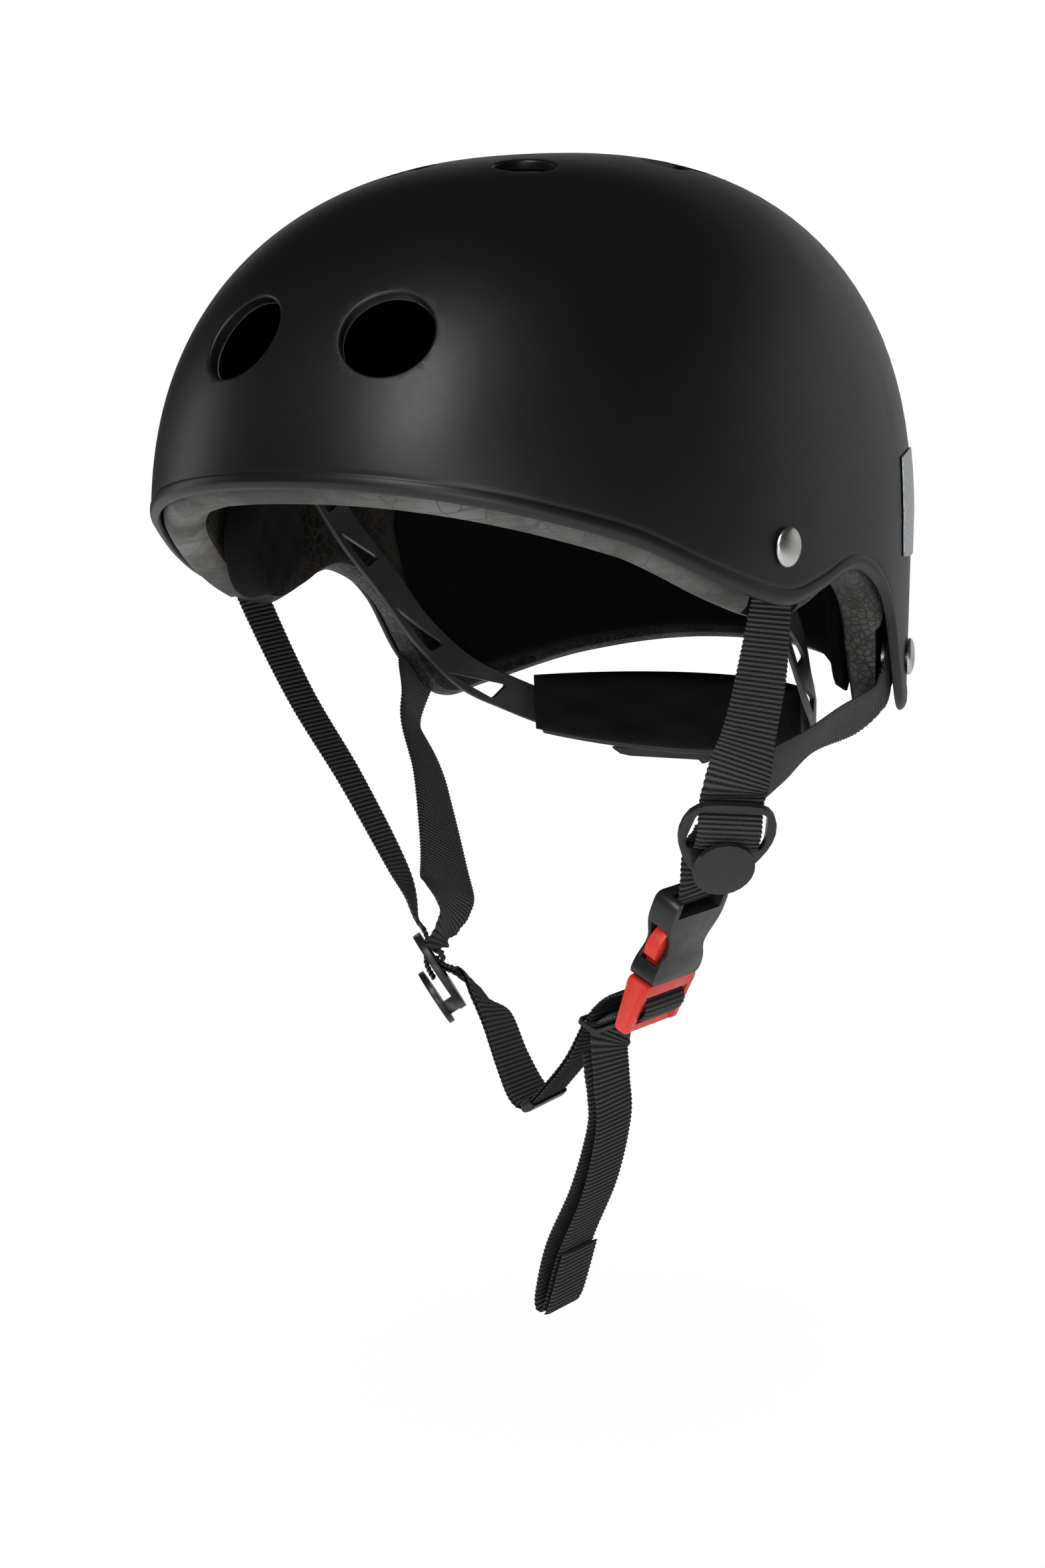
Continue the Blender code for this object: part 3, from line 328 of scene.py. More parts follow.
def foam_edge_look():
    """The foam's moulded edge: a smooth grey skin with scratches and small cracks."""
    look = Look("foam_edge", (0.12, 0.118, 0.112), 0.6)
    patch = look.span(look.noise(38, 5), 0.38, 0.62, 0, 1)
    bead = look.cells(420)
    crack = look.span(look.cells(95, look.stretched((1, 1, 1.7))), 0.0, 0.03, 1, 0)
    scratch = look.span(look.noise(60, 5, 0.6, look.stretched((1, 1, 12))), 0.56, 0.66, 0, 1)
    skin = look.mix(patch, (0.075, 0.073, 0.069), (0.18, 0.176, 0.168))
    skin = look.mix(look.math("MULTIPLY", scratch, 0.45), skin, (0.035, 0.033, 0.031))
    tops = look.mix(patch, (0.04, 0.038, 0.035), (0.09, 0.086, 0.08))
    beads = look.mix(look.span(bead, 0.0, 0.2, 0, 1), (0.012, 0.011, 0.01), tops)
    back = look.node("SeparateXYZ", {0: look.place}).outputs[1]
    skin = look.mix(look.span(back, *FOAM_BEADED, 0, 1), skin, beads)
    depth = look.math("MULTIPLY", crack, look.math("MULTIPLY", patch, 0.7))
    look.colour(look.mix(depth, skin, (0.01, 0.009, 0.008)))
    look.rough(look.span(patch, 0, 1, 0.75, 0.5))
    return look.bump(
        (bead, 0.15, 0.0006), (look.noise(55, 5), 0.3, 0.0018), (look.noise(900, 3), 0.25, 0.0004)
    ).material


# Depth of the shade between the loops
VELOUR_SHADE = 0.22


def velour_look(name, sheen, light, rib=False):
    """Brushed loop fabric on foam, with faint knitted ribs."""
    look = Look(
        name, light, 0.95, Sheen_Weight=sheen, Sheen_Roughness=0.6, Specular_IOR_Level=0.06 if sheen else 0.0
    )
    fuzz = look.noise(1900, 4, 0.7)
    nap = look.noise(60, 4)
    dark = tuple(c * VELOUR_SHADE for c in light)
    look.colour(look.mix(look.span(look.math("ADD", fuzz, nap), 0.7, 1.35, 0, 1), dark, light))
    layers = [(fuzz, 1.0, 0.0012), (nap, 0.4, 0.0014)]
    if rib:
        wave = look.node(
            "TexWave", {"Vector": look.stretched((1, 0.35, 0)), "Scale": 210, "Distortion": 1.2, "Detail": 2}
        ).outputs["Fac"]
        layers.append((wave, 0.22, 0.0005))
    return look.bump(*layers).material


RIB = 1.45


def web_look():
    """Woven nylon: fibres along the weft of each rib, with a denser selvedge."""
    look = Look("web_nylon", (0.016, 0.016, 0.017), 0.72, Specular_IOR_Level=0.18)
    parts = look.node("SeparateXYZ", {0: look.uv})
    along = look.math("MULTIPLY", parts.outputs[1], 2 * math.pi / RIB)
    wave = look.span(look.math("SINE", along, 0.0), -1, 1, 0, 1)
    across = look.math("MULTIPLY", parts.outputs[0], 2 * math.pi / 1.1)
    warp = look.span(look.math("SINE", across, 0.0), -1, 1, 0, 1)
    yarn = look.noise(1, 3, 0.6, look.stretched((0.9, 6.0, 1), look.uv))
    # Colour: painted shade in the grooves between the ribs and paler rib tops, with yarn tone that varies at
    # random
    shade = look.math("ADD", look.math("MULTIPLY", wave, 0.5), look.math("MULTIPLY", yarn, 0.6))
    look.colour(look.mix(look.span(shade, 0.25, 0.85, 0, 1), (0.0015, 0.0015, 0.0017), (0.1, 0.1, 0.104)))
    look.rough(look.span(yarn, 0.3, 0.7, 0.6, 0.85))
    return look.bump((wave, 0.7, 0.0004), (warp, 0.4, 0.00022), (yarn, 0.5, 0.0002)).material


def plastic_look(name, colour, roughness, grain=0.1):
    """Moulded plastic: fine grain, scuffed a little."""
    look = Look(name, colour, roughness)
    scuff = look.noise(45, 5)
    light = tuple(min(c * 1.5 + 0.004, 1) for c in colour)
    dark = tuple(c * 0.85 for c in colour)
    look.colour(look.mix(look.span(scuff, 0.35, 0.75, 0, 1), dark, light))
    look.rough(look.span(look.noise(160, 4), 0.3, 0.7, roughness - 0.07, roughness + 0.1))
    return look.bump((look.noise(2200, 2), grain, 0.00016), (look.noise(120, 2), 0.06, 0.0004)).material


def rivet_look():
    """Satin plated steel with turning marks."""
    look = Look("rivet_plate", (0.74, 0.73, 0.71), 0.3, 1.0)
    scratch = look.noise(700, 4, 0.6, look.stretched((1, 1, 7)))
    look.colour(look.mix(look.noise(120, 3), (0.62, 0.61, 0.59), (0.82, 0.81, 0.79)))
    look.rough(look.span(scratch, 0.3, 0.7, 0.24, 0.42))
    return look.bump((scratch, 0.15, 0.0001)).material


def patch_look():
    """Reflective film with a fine net of cells."""
    look = Look("reflective_film", (0.5, 0.53, 0.57), 0.35, 0.25)
    turned = look.node("Mapping", {"Vector": look.place, "Rotation": (0, 0, 0.5)}).outputs[0]
    net = look.cells(330, turned)
    line = look.span(net, 0.03, 0.1, 1, 0)
    film = look.mix(look.noise(900, 2), (0.44, 0.48, 0.53), (0.6, 0.63, 0.66))
    look.colour(look.mix(line, film, (0.78, 0.8, 0.82)))
    look.rough(look.span(line, 0, 1, 0.28, 0.5))
    return look.bump((net, 0.4, 0.0002)).material


SHELL = shell_look()
FOAM = foam_look()
FOAM_EDGE = foam_edge_look()
VELOUR = velour_look("velour", 0.06, (0.007, 0.0064, 0.006))
VELOUR_RIBBED = velour_look("velour_ribbed", 0.02, (0.0045, 0.0041, 0.0038), True)
# Painted shade: a near-black copy of the velour without sheen, for the front and crown pads deep inside the
# cap
VELOUR_PAINTED_SHADE = velour_look("velour_painted_shade", 0.0, (0.002, 0.0018, 0.0017))
NYLON = web_look()
FITTING = plastic_look("fitting_nylon", (0.014, 0.014, 0.015), 0.33)
BAND = plastic_look("band_nylon", (0.036, 0.036, 0.037), 0.42, 0.2)
RUBBER = plastic_look("ring_rubber", (0.01, 0.01, 0.01), 0.5)
RED = plastic_look("buckle_acetal", (0.9, 0.045, 0.03), 0.34)
STEEL = rivet_look()
FILM = patch_look()


# Shape helpers, as in the part's own source


def axes_matrix(origin, across, along):
    """Frame at a point in millimetres, with y along and x across."""
    y = Vector(along).normalized()
    x = Vector(across)
    x = (x - y * x.dot(y)).normalized()
    return Matrix.Translation(Vector(origin) * MM) @ Matrix((x, y, x.cross(y))).transposed().to_4x4()


def on_matrix(matrix, x, y, z):
    return matrix @ (Vector((x, y, z)) * MM) / MM


def rim_height(knots, degrees):
    """Smooth height through the knots at a plan angle, with level ends."""
    degrees = abs(degrees)
    last = len(knots) - 1
    i = max(k for k in range(last) if knots[k][0] <= degrees or k == 0)

    def slope(k):
        if k in (0, last):
            return 0.0
        return (knots[k + 1][1] - knots[k - 1][1]) / (knots[k + 1][0] - knots[k - 1][0])

    (a, low), (b, high) = knots[i], knots[i + 1]
    u = (degrees - a) / (b - a)
    rise, run = high - low, b - a
    bend = u * (1 - u) ** 2 * slope(i) - u * u * (1 - u) * slope(i + 1)
    return low + u * u * (3 - 2 * u) * rise + bend * run


def skin(degrees, climb, inset=0.0):
    """Point of the dome at a plan angle and a climb, from -1 at the skirt's foot to 1 at the crown."""
    angle = math.radians(degrees)
    side, front = math.sin(angle), math.cos(angle)
    x = (HALF_WIDTH - inset) * math.copysign(abs(side) ** (2 / PLAN_POWER), side)
    y = -(HALF_LENGTH - inset + FRONT_EXTRA * front) * math.copysign(abs(front) ** (2 / PLAN_POWER), front)
    if climb < 0:
        ring, z = 1 + SKIRT_TAPER * climb, WIDEST_Z + SKIRT_DEPTH * climb
    else:
        turn = min(climb, 1) * math.pi / 2
        ring = max(math.cos(turn), 0) ** (2 / CROWN_POWER)
        z = WIDEST_Z + (DOME_HEIGHT - inset) * math.sin(turn) ** (2 / CROWN_POWER)
    return Vector((x * ring, y * ring, z))


def climb_at(height, inset=0.0):
    if height < WIDEST_Z:
        return (height - WIDEST_Z) / SKIRT_DEPTH
    share = min((height - WIDEST_Z) / (DOME_HEIGHT - inset), 1)
    return 2 / math.pi * math.asin(share ** (CROWN_POWER / 2))


def on_skin(degrees, height, inset=0.0):
    return skin(degrees, climb_at(height, inset), inset)


def skin_matrix(degrees, height, inset=0.0):
    climb = climb_at(height, inset)
    tiny = 0.01
    round_way = skin(degrees + 1, climb, inset) - skin(degrees - 1, climb, inset)
    up_way = skin(degrees, climb + tiny, inset) - skin(degrees, climb - tiny, inset)
    return axes_matrix(skin(degrees, climb, inset), round_way, up_way)


def crowded(degrees):
    """Plan angle drawn towards the ear cut-outs, where the edge bends most."""
    wave = math.sin(math.radians(2 * (abs(degrees) - CROWD_ANGLE))) + math.sin(math.radians(2 * CROWD_ANGLE))
    return math.copysign(abs(degrees) - CROWD * math.degrees(wave) / 2, degrees)


def smooth(points, place):
    """Point of the curve through the points, at a share of its length."""
    last = len(points) - 1
    s = max(0.0, min(place, 1.0)) * last
    i = min(int(s), last - 1)
    u = s - i
    p1, p2 = points[i], points[i + 1]
    p0 = points[i - 1] if i else p1 * 2 - p2
    p3 = points[i + 2] if i + 2 <= last else p2 * 2 - p1
    return (
        p1 * 2 + (p2 - p0) * u + (p0 * 2 - p1 * 5 + p2 * 4 - p3) * u * u + (p1 * 3 - p0 - p2 * 3 + p3) * u**3
    ) / 2


def along_route(route, place):
    """Middle of a route at a share of its length, with the ways along and across."""
    middles = [p for p, _ in route]
    acrosses = [a for _, a in route]
    step = 0.01
    way = (smooth(middles, min(place + step, 1)) - smooth(middles, max(place - step, 0))).normalized()
    across = smooth(acrosses, place)
    return smooth(middles, place), way, (across - way * across.dot(way)).normalized()


def steady(route):
    """A route whose ways across all point to the same side."""
    out = []
    for point, across in route:
        across = Vector(across).normalized()
        if out and across.dot(out[-1][1]) < 0:
            across = -across
        out.append((Vector(point), across))
    return out


CORNER_STEPS = 4


def rounded(points, radius):
    """An outline with rounded corners."""
    out = []
    count = len(points)
    for i in range(count):
        before, here, after = (Vector(points[(i + k) % count]) for k in (-1, 0, 1))
        a = here + (before - here).normalized() * min(radius, (before - here).length / 2.2)
        b = here + (after - here).normalized() * min(radius, (after - here).length / 2.2)
        for k in range(CORNER_STEPS + 1):
            u = k / CORNER_STEPS
            out.append(tuple(a * (1 - u) ** 2 + here * 2 * u * (1 - u) + b * u * u))
    return out


# Mesh helpers


def link(name, shape, look=None):
    """Turn a bmesh into an object."""
    bmesh.ops.recalc_face_normals(shape, faces=shape.faces)
    mesh = bpy.data.meshes.new(name)
    shape.to_mesh(mesh)
    shape.free()
    made = bpy.data.objects.new(name, mesh)
    bpy.context.scene.collection.objects.link(made)
    if look:
        mesh.materials.append(look)
    return made


# Angle, in degrees, past which an edge stays sharp, and the gap in metres between doubled points
SMOOTH_ANGLE = 35
WELD_GAP = 1e-6


def settle(obj, angle=SMOOTH_ANGLE):
    """Apply an object's modifiers and smooth its shading."""
    bpy.context.view_layer.update()
    solid = obj.evaluated_get(bpy.context.evaluated_depsgraph_get())
    mesh = bpy.data.meshes.new_from_object(solid)
    old = obj.data
    obj.modifiers.clear()
    obj.data = mesh
    mesh.name = obj.name
    bpy.data.meshes.remove(old)
    mesh.shade_smooth()
    mesh.set_sharp_from_angle(angle=math.radians(angle))
    return obj


def cut(obj, tools):
    """Cut closed meshes out of an object and delete them."""
    for tool in tools:
        step = obj.modifiers.new("cut", "BOOLEAN")
        step.operation = "DIFFERENCE"
        step.object = tool
        step.solver = "EXACT"
    settle(obj)
    for tool in tools:
        bpy.data.objects.remove(tool)
    return obj


def loft(name, loops, look=None, closed=True):
    """A closed skin over loops of points, in millimetres, with capped ends."""
    shape = bmesh.new()
    rows = [[shape.verts.new(Vector(p) * MM) for p in loop] for loop in loops]
    count = len(rows[0])
    for a, b in zip(rows, rows[1:]):
        for k in range(count):
            n = (k + 1) % count
            shape.faces.new((a[k], a[n], b[n], b[k]))
    if closed:
        shape.faces.new(rows[0])
        shape.faces.new(rows[-1])
    return link(name, shape, look)


def weld(obj, gap):
    """Merge an object's doubled points, which lie closer than a gap in metres."""
    shape = bmesh.new()
    shape.from_mesh(obj.data)
    bmesh.ops.remove_doubles(shape, verts=shape.verts, dist=gap)
    bmesh.ops.recalc_face_normals(shape, faces=shape.faces)
    shape.to_mesh(obj.data)
    shape.free()
    return obj


def prism(name, matrix, outline, low, high):
    """An outline of a frame, drawn out between two heights."""
    return loft(name, [[on_matrix(matrix, x, y, z) for x, y in outline] for z in (low, high)])


def dress(piece, body, slot, *nodes):
    """Ride a piece on a body and hide the solids that it stands for. The finish's name, slot, is not used."""
    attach(piece, body)
    if nodes:
        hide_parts(*nodes)
    return piece


# Cap

CAP_COLUMNS = 252
# Heights above the edge, in millimetres, of the rows next to it, with how far each stands in from the skin
LIP_ROWS = (
    (0.0, -0.3), (0.5, -0.34), (1.1, -0.34), (1.7, -0.28), (2.1, -0.05), (2.4, 0.16), (2.8, 0.16),
    (3.2, 0.02), (4.2, 0.0), (6.0, 0.0), (9.0, 0.0), (13.0, 0.0),
)
LIP_STEPS = 8
DOME_ROWS = 46
FILLET = 0.9
FILLET_STEPS = 5
FILLET_CLEAR = 0.01
# Heights of the vents' cutters over the skin
RAY_HEIGHT = 40
MOUTH_RISE = 6
HOLE_RISE = 12
# The foam's edge is a flat band with rounded corners
LINER_LIP = 3.0
LINER_LIP_POWER = 4.2
# Faces turned inward more than this are the foam's inside
INNER_FACING = -0.6


def cap(name, look, inset, wall, lip, rows, sharp_lip, recess=((0, 0), (180, 0))):
    """A closed dome whose edge is rounded: outer wall from crown to edge, the lip, then the inner wall."""
    columns = [crowded(-180 + 360 * k / CAP_COLUMNS) for k in range(CAP_COLUMNS)]
    feet = [rim_height(SHELL_EDGE, d) + rim_height(recess, d) + lip for d in columns]
    top = rows[-1][0]

    def wall_rows(depth, trim):
        out = []
        for j in range(DOME_ROWS):
            share = 1 - j / DOME_ROWS
            loop = []
            for degrees, foot in zip(columns, feet):
                start = climb_at(foot + top, depth)
                loop.append(skin(degrees, start + (1 - start) * share, depth))
            out.append(loop)
        for height, off in reversed(rows):
            out.append([
                on_skin(d, f + height, depth + off * trim) for d, f in zip(columns, feet)
            ])
        return out

    outer = wall_rows(inset, 1)
    inner = wall_rows(inset + wall, 0)
    loops = outer
    for k in range(1, LIP_STEPS):
        a = math.pi * k / LIP_STEPS
        loop = []
        for p, q in zip(outer[-1], inner[-1]):
            c, s = math.cos(a), math.sin(a)
            power = 2 / sharp_lip
            bend = math.copysign(abs(c) ** power, c)
            drop = abs(s) ** power * lip
            loop.append((p + q) / 2 + (p - q) / 2 * bend - Vector((0, 0, drop)))
        loops.append(loop)
    loops += reversed(inner)
    return weld(loft(name, loops, look, closed=False), WELD_GAP)


def circle_outline(radius, grow):
    turns = [2 * math.pi * k / ROUND_SIDES for k in range(ROUND_SIDES)]
    return [((radius + grow) * math.cos(a), (radius + grow) * math.sin(a)) for a in turns]


def slot_outline(grow):
    half = SLOT_WIDTH / 2 + grow
    straight = (SLOT_LENGTH - SLOT_WIDTH) / 2
    turns = [math.pi * (k + 0.5) / 24 for k in range(48)]
    return [(half * math.cos(a), half * math.sin(a) + math.copysign(straight, math.sin(a))) for a in turns]


def vent_tool(name, matrix, outline, surface, depth, flare):
    """A cutter for one vent, whose mouth is filleted where it meets the surface."""
    loops = []
    way = -(matrix.col[2].to_3d()).normalized()

    def top(points):
        out = []
        for x, y in points:
            start = matrix @ (Vector((x, y, RAY_HEIGHT)) * MM)
            hit = surface.ray_cast(start, way)[0]
            out.append(RAY_HEIGHT - (hit - start).length / MM)
        return out

    if flare:
        wide = outline(FILLET)
        high = top(wide)
        loops.append([(x, y, h + MOUTH_RISE) for (x, y), h in zip(wide, high)])
        for k in range(FILLET_STEPS + 1):
            a = math.pi / 2 * k / FILLET_STEPS
            ring = outline(FILLET - FILLET * math.sin(a))
            sink = FILLET * math.cos(a) - FILLET + FILLET_CLEAR
            loops.append([(x, y, h + sink) for (x, y), h in zip(ring, high)])
    else:
        loops.append([(x, y, HOLE_RISE) for x, y in outline(0)])
    loops.append([(x, y, -depth) for x, y in outline(0)])
    return loft(name, [[on_matrix(matrix, *p) for p in loop] for loop in loops])


def make_cap():
    """Shell and liner with their vents, rivet holes and strap pockets."""
    shell = cap("shell_skin", SHELL, 0, SHELL_WALL, SHELL_WALL / 2, LIP_ROWS, 2)
    plain = tuple((h, 0.0) for h, _ in LIP_ROWS)
    liner = cap("liner_foam", FOAM, LINER_INSET, LINER_WALL, LINER_LIP, plain, LINER_LIP_POWER, LINER_RECESS)
    liner.data.materials.append(FOAM_EDGE)
    for face in liner.data.polygons:
        outward = face.normal.dot(Vector((face.center.x, face.center.y, 0)).normalized())
        face.material_index = 1 if outward > INNER_FACING else 0
    bpy.context.view_layer.update()
    surface = BVHTree.FromObject(shell, bpy.context.evaluated_depsgraph_get())
    vents = []
    for _, sign in SIDES:
        for degrees, height, radius in ROUND_VENTS.values():
            at = skin_matrix(degrees * sign, height)
            vents.append((at, partial(circle_outline, radius), -VENT_SPAN[0]))
        low, high = SLOT_SPAN
        middle = (low + high) / 2
        at = Matrix.Translation(Vector((SLOT_CENTRE[0] * sign, SLOT_CENTRE[1], middle)) * MM)
        vents.append((at, slot_outline, middle - low))

    def vent_tools(label, flare):
        out = []
        for k, (at, line, deep) in enumerate(vents):
            out.append(vent_tool(f"{label}_{k}", at, line, surface, deep, flare))
        return out

    tools = vent_tools("vent", True)
    bores = []
    pockets = []
    for side, sign in SIDES:
        for label, (degrees, height) in RIVETS:
            at = skin_matrix(degrees * sign, height)
            ring = circle_outline(RIVET_HOLE_RADIUS, 0)
            bores.append(prism(f"bore_{label}_{side}", at, ring, *RIVET_HOLE_SPAN))
            one_way, low, other_way, high = POCKETS[label]
            x0, x1 = sorted((one_way * sign, other_way * sign))
            corners = ((x0, low), (x1, low), (x1, high), (x0, high))
            floor = -SHELL_WALL - POCKET_DEPTH
            pockets.append(prism(f"pocket_{label}_{side}", at, corners, floor, POCKET_RISE))
    cut(shell, tools + bores)
    cut(liner, vent_tools("hole", False) + pockets)
    dress(shell, "helmet", "shell_black", "outer_shell")
    dress(liner, "helmet", "eps_grey", "eps_liner")


RIVET_CHAMFER = 0.25
RIVET_BRIM = 0.3
RIVET_FLAT = 0.4
RIVET_DOME_STEPS = 10
RIVET_DOME_POWER = 0.9
RIVET_SMOOTH = 50


def make_rivets():
    """Domed rivet heads over their shanks."""
    foot = -(WEB_INSET + WEB / 2 + 2 * GAP + RIVET_PLAY)
    for side, sign in SIDES:
        for label, (degrees, height) in RIVETS:
            at = skin_matrix(degrees * sign, height)
            profile = [
                (RIVET_FOOT_RADIUS, foot - RIVET_FOOT), (RIVET_FOOT_RADIUS, foot), (RIVET_SHANK_RADIUS, foot),
                (RIVET_SHANK_RADIUS, GAP), (RIVET_HEAD_RADIUS - RIVET_CHAMFER, GAP),
            ]
            for k in range(RIVET_DOME_STEPS):
                a = math.pi / 2 * k / RIVET_DOME_STEPS
                high = GAP + RIVET_BRIM + (RIVET_HEAD_HEIGHT - RIVET_BRIM) * math.sin(a) ** RIVET_DOME_POWER
                profile.append((RIVET_HEAD_RADIUS * math.cos(a) ** RIVET_DOME_POWER, high))
            profile.append((RIVET_FLAT, GAP + RIVET_HEAD_HEIGHT))
            loops = [[on_matrix(at, x, y, z) for x, y in circle_outline(r, 0)] for r, z in profile]
            piece = loft(f"rivet_head_{label}_{side}", loops, STEEL)
            settle(piece, RIVET_SMOOTH)
            dress(piece, "helmet", "rivet_silver", f"rivet_{label}_{side}")


# Pads


def border(grid):
    """The points round a grid's edge, in order."""
    return grid[0] + [r[-1] for r in grid[1:]] + grid[-1][-2::-1] + [r[0] for r in grid[-2:0:-1]]


PAD_SQUARENESS = 8
PAD_SHOULDER = 0.4
PAD_RIPPLE = 0.05
# Depths of a pad's rim and crown at its face, and of its back, as shares of its wall
PAD_RIM = 0.2
PAD_CROWN = 0.78
PAD_BACK = 0.12
PAD_SMOOTH = 80


def pad(name, place, cells, look, seed, node, body="helmet"):
    """A crowned foam pad: place gives the point at u and t, from -1 to 1, and at a depth from 0 to 1."""
    columns, rows = cells
    shape = bmesh.new()
    faces = []
    for face in (0, 1):
        grid = []
        for j in range(rows + 1):
            line = []
            for i in range(columns + 1):
                u, t = -1 + 2 * i / columns, -1 + 2 * j / rows
                crown = ((1 - abs(u) ** PAD_SQUARENESS) * (1 - abs(t) ** PAD_SQUARENESS)) ** PAD_SHOULDER
                ripple = PAD_RIPPLE * math.sin(9 * u + seed) * math.sin(7 * t + 2 * seed)
                depth = PAD_RIM + (PAD_CROWN + ripple) * crown if face else PAD_BACK - PAD_BACK * crown
                line.append(shape.verts.new(place(u, t, depth) * MM))
            grid.append(line)
        for a, b in zip(grid, grid[1:]):
            for i in range(columns):
                shape.faces.new((a[i], a[i + 1], b[i + 1], b[i]))
        faces.append(grid)
    a, b = (border(grid) for grid in faces)
    for i in range(len(a)):
        n = (i + 1) % len(a)
        shape.faces.new((a[i], a[n], b[n], b[i]))
    piece = link(name, shape, look)
    settle(piece, PAD_SMOOTH)
    dress(piece, body, "pad_black", node)
    return piece


def square_to_round(u, t, corner):
    return u * math.sqrt(1 - corner * t * t / 2), t * math.sqrt(1 - corner * u * u / 2)


def skin_place(patch, inset, corner, wall=PAD_WALL):
    """Points of a pad on the skin between two plan angles and two heights of its edges."""
    middle, half, low, high = patch

    def place(u, t, depth):
        u, t = square_to_round(u, t, corner)
        degrees = middle + half * u
        bottom, top = low(degrees), high(degrees)
        return on_skin(degrees, bottom + (top - bottom) * (t + 1) / 2, inset + wall * depth)

    return place


def level(height):
    return lambda degrees: height


def flat_place(place, sign=1):
    """A patch's place on one side, with level edges."""
    middle, half, low, high = place
    return middle * sign, half, level(low), level(high)


CRADLE_ARC = 78.5
CRADLE_BACK = 90.0
CRADLE_PAD_WALL = 6.5
CRADLE_PAD_HEIGHT = 19.0
CRADLE_PAD_Z = -38.5
CRADLE_SAG = 8.0
CRADLE_PAD_HALF_ANGLE = 42.0


def cradle_place(u, t, depth):
    """Points of the cradle's foam, whose inner face is the padded one."""
    radius = CRADLE_ARC - GAP - CRADLE_PAD_WALL * depth
    angle = math.radians(CRADLE_PAD_HALF_ANGLE) * u
    z = CRADLE_PAD_Z + t * CRADLE_PAD_HEIGHT / 2 - CRADLE_SAG * (1 - u * u) * (1 - t) / 2
    return Vector((radius * math.sin(angle), CRADLE_BACK - CRADLE_ARC + radius * math.cos(angle), z))


def make_pads():
    """Pads stuck inside the liner, and the cradle's foam."""

    def edge(degrees):
        return rim_height(SHELL_EDGE, degrees if degrees <= 180 else 360 - degrees) + REAR_PAD_CLEAR

    rear = skin_place((*REAR_PAD, edge, level(REAR_PAD_TOP)), PAD_INSET, 0.25)
    pad("pad_rear", rear, (160, 34), VELOUR_RIBBED, 1, "rear_pad")
    pad("pad_front", skin_place(flat_place(FRONT_PAD), PAD_INSET, 0.5), (70, 16), VELOUR_PAINTED_SHADE, 2, "front_pad")
    for k, (side, sign) in enumerate(SIDES):
        middle, half, low, high = flat_place(TEMPLE_PAD, sign)
        pressed = level(TEMPLE_PAD_RAISED) if side == "left" else low
        temple = skin_place((middle, half, pressed, high), PAD_INSET, 0.95, TEMPLE_PAD_WALL)
        pad(f"pad_temple_{side}", temple, (36, 36), VELOUR, 3 + k, f"temple_pad_{side}")
        crown = skin_place(flat_place(CROWN_PAD, sign), PAD_INSET + CROWN_PAD_CLEAR, 0.6)
        pad(f"pad_crown_{side}", crown, (60, 20), VELOUR_PAINTED_SHADE, 5 + k, f"crown_pad_{side}")
    pad("pad_cradle", cradle_place, (110, 26), VELOUR, 8, "cradle_pad", "cradle")


# Headband arms

BAND_ROUTE = (
    ((-77.0, -25.8, 56.6), (0.0, 0.9, 0.3)),
    ((-76.5, -19.0, 45.0), (0.0, 0.85, 0.5)),
    ((-75.3, -5.0, 28.0), (0.0, 0.75, 0.65)),
    ((-73.5, 12.0, 10.5), (0.0, 0.7, 0.7)),
    ((-71.0, 29.0, -9.0), (0.0, 0.7, 0.7)),
    ((-65.6, 46.6, -25.4), (0.1, 0.5, 0.85)),
    ((-59.0, 63.4, -34.9), (0.1, 0.3, 0.95)),
    ((-50.5, 80.5, -43.5), (0.0, 0.1, 1.0)),
    ((-40.0, 91.5, -47.6), (0.0, 0.0, 1.0)),
    ((-33.0, 94.3, -47.9), (0.0, 0.0, 1.0)),
)
BAND_WINDOWS = ((0.13, 0.045), (0.25, 0.05), (0.43, 0.06), (0.58, 0.07))
BAND_WINDOW_HALF = 3.4
BAND_WINDOW_SLANT = 0.75
BAND_WINDOW_CORNER = 1.5
BAND_WIDTH = 12.0
BAND_WALL = 1.6
BAND_EDGE = 0.35
BAND_ROWS = 110


def make_bands():
    """Arms with three-cornered cut-outs, which reach the cradle at their rear ends."""
    for side, sign in SIDES:
        turned = Vector((-sign, 1, 1))
        route = [(Vector(p) * turned, Vector(a) * turned) for p, a in BAND_ROUTE]
        loops = []
        for k in range(BAND_ROWS + 1):
            middle, way, across = along_route(route, k / BAND_ROWS)
            out = way.cross(across)
            w, h, r = BAND_WIDTH / 2, BAND_WALL / 2, BAND_EDGE
            half_ring = [(-w, -h + r), (-w, h - r), (-w + r, h), (w - r, h)]
            ring = half_ring + [(-x, -y) for x, y in half_ring]
            loops.append([middle + across * x + out * y for x, y in ring])
        band = loft(f"band_{side}", loops, BAND)
        tools = []
        for k, (place, half) in enumerate(BAND_WINDOWS):
            middle, way, across = along_route(route, place)
            ends = [along_route(route, place + half * s)[0] for s in (-1, 1)]
            reach = (ends[1] - ends[0]).length / 2
            at = axes_matrix(middle, across, way)
            w = BAND_WINDOW_HALF
            line = rounded([(-w, -reach), (w, reach), (-w, reach * BAND_WINDOW_SLANT)], BAND_WINDOW_CORNER)
            tools.append(prism(f"window_{side}_{k}", at, line, -BAND_WIDTH / 2, BAND_WIDTH / 2))
        cut(band, tools)
        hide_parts(f"headband_arm_{side}")
        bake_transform(band)


# Webbing

RIB_HEIGHT = 0.3
RIB_STEPS = 4
WEB_COLUMNS = 10
WEB_SAMPLES = 600
WEB_CLEAR = 0.02
WEB_SMOOTH = 60
WEB_LEAST = 0.1
# The selvedge: how sharply it sets in, its waviness, and how much of the rib and of the ply it takes
SELVEDGE_POWER = 6
SELVEDGE_WAVE = 0.14
SELVEDGE_RIB = 0.4
SELVEDGE_THIN = 0.3
# How far the ribs of a second layer are out of step, in radians
LAYER_SHIFT = 1.7


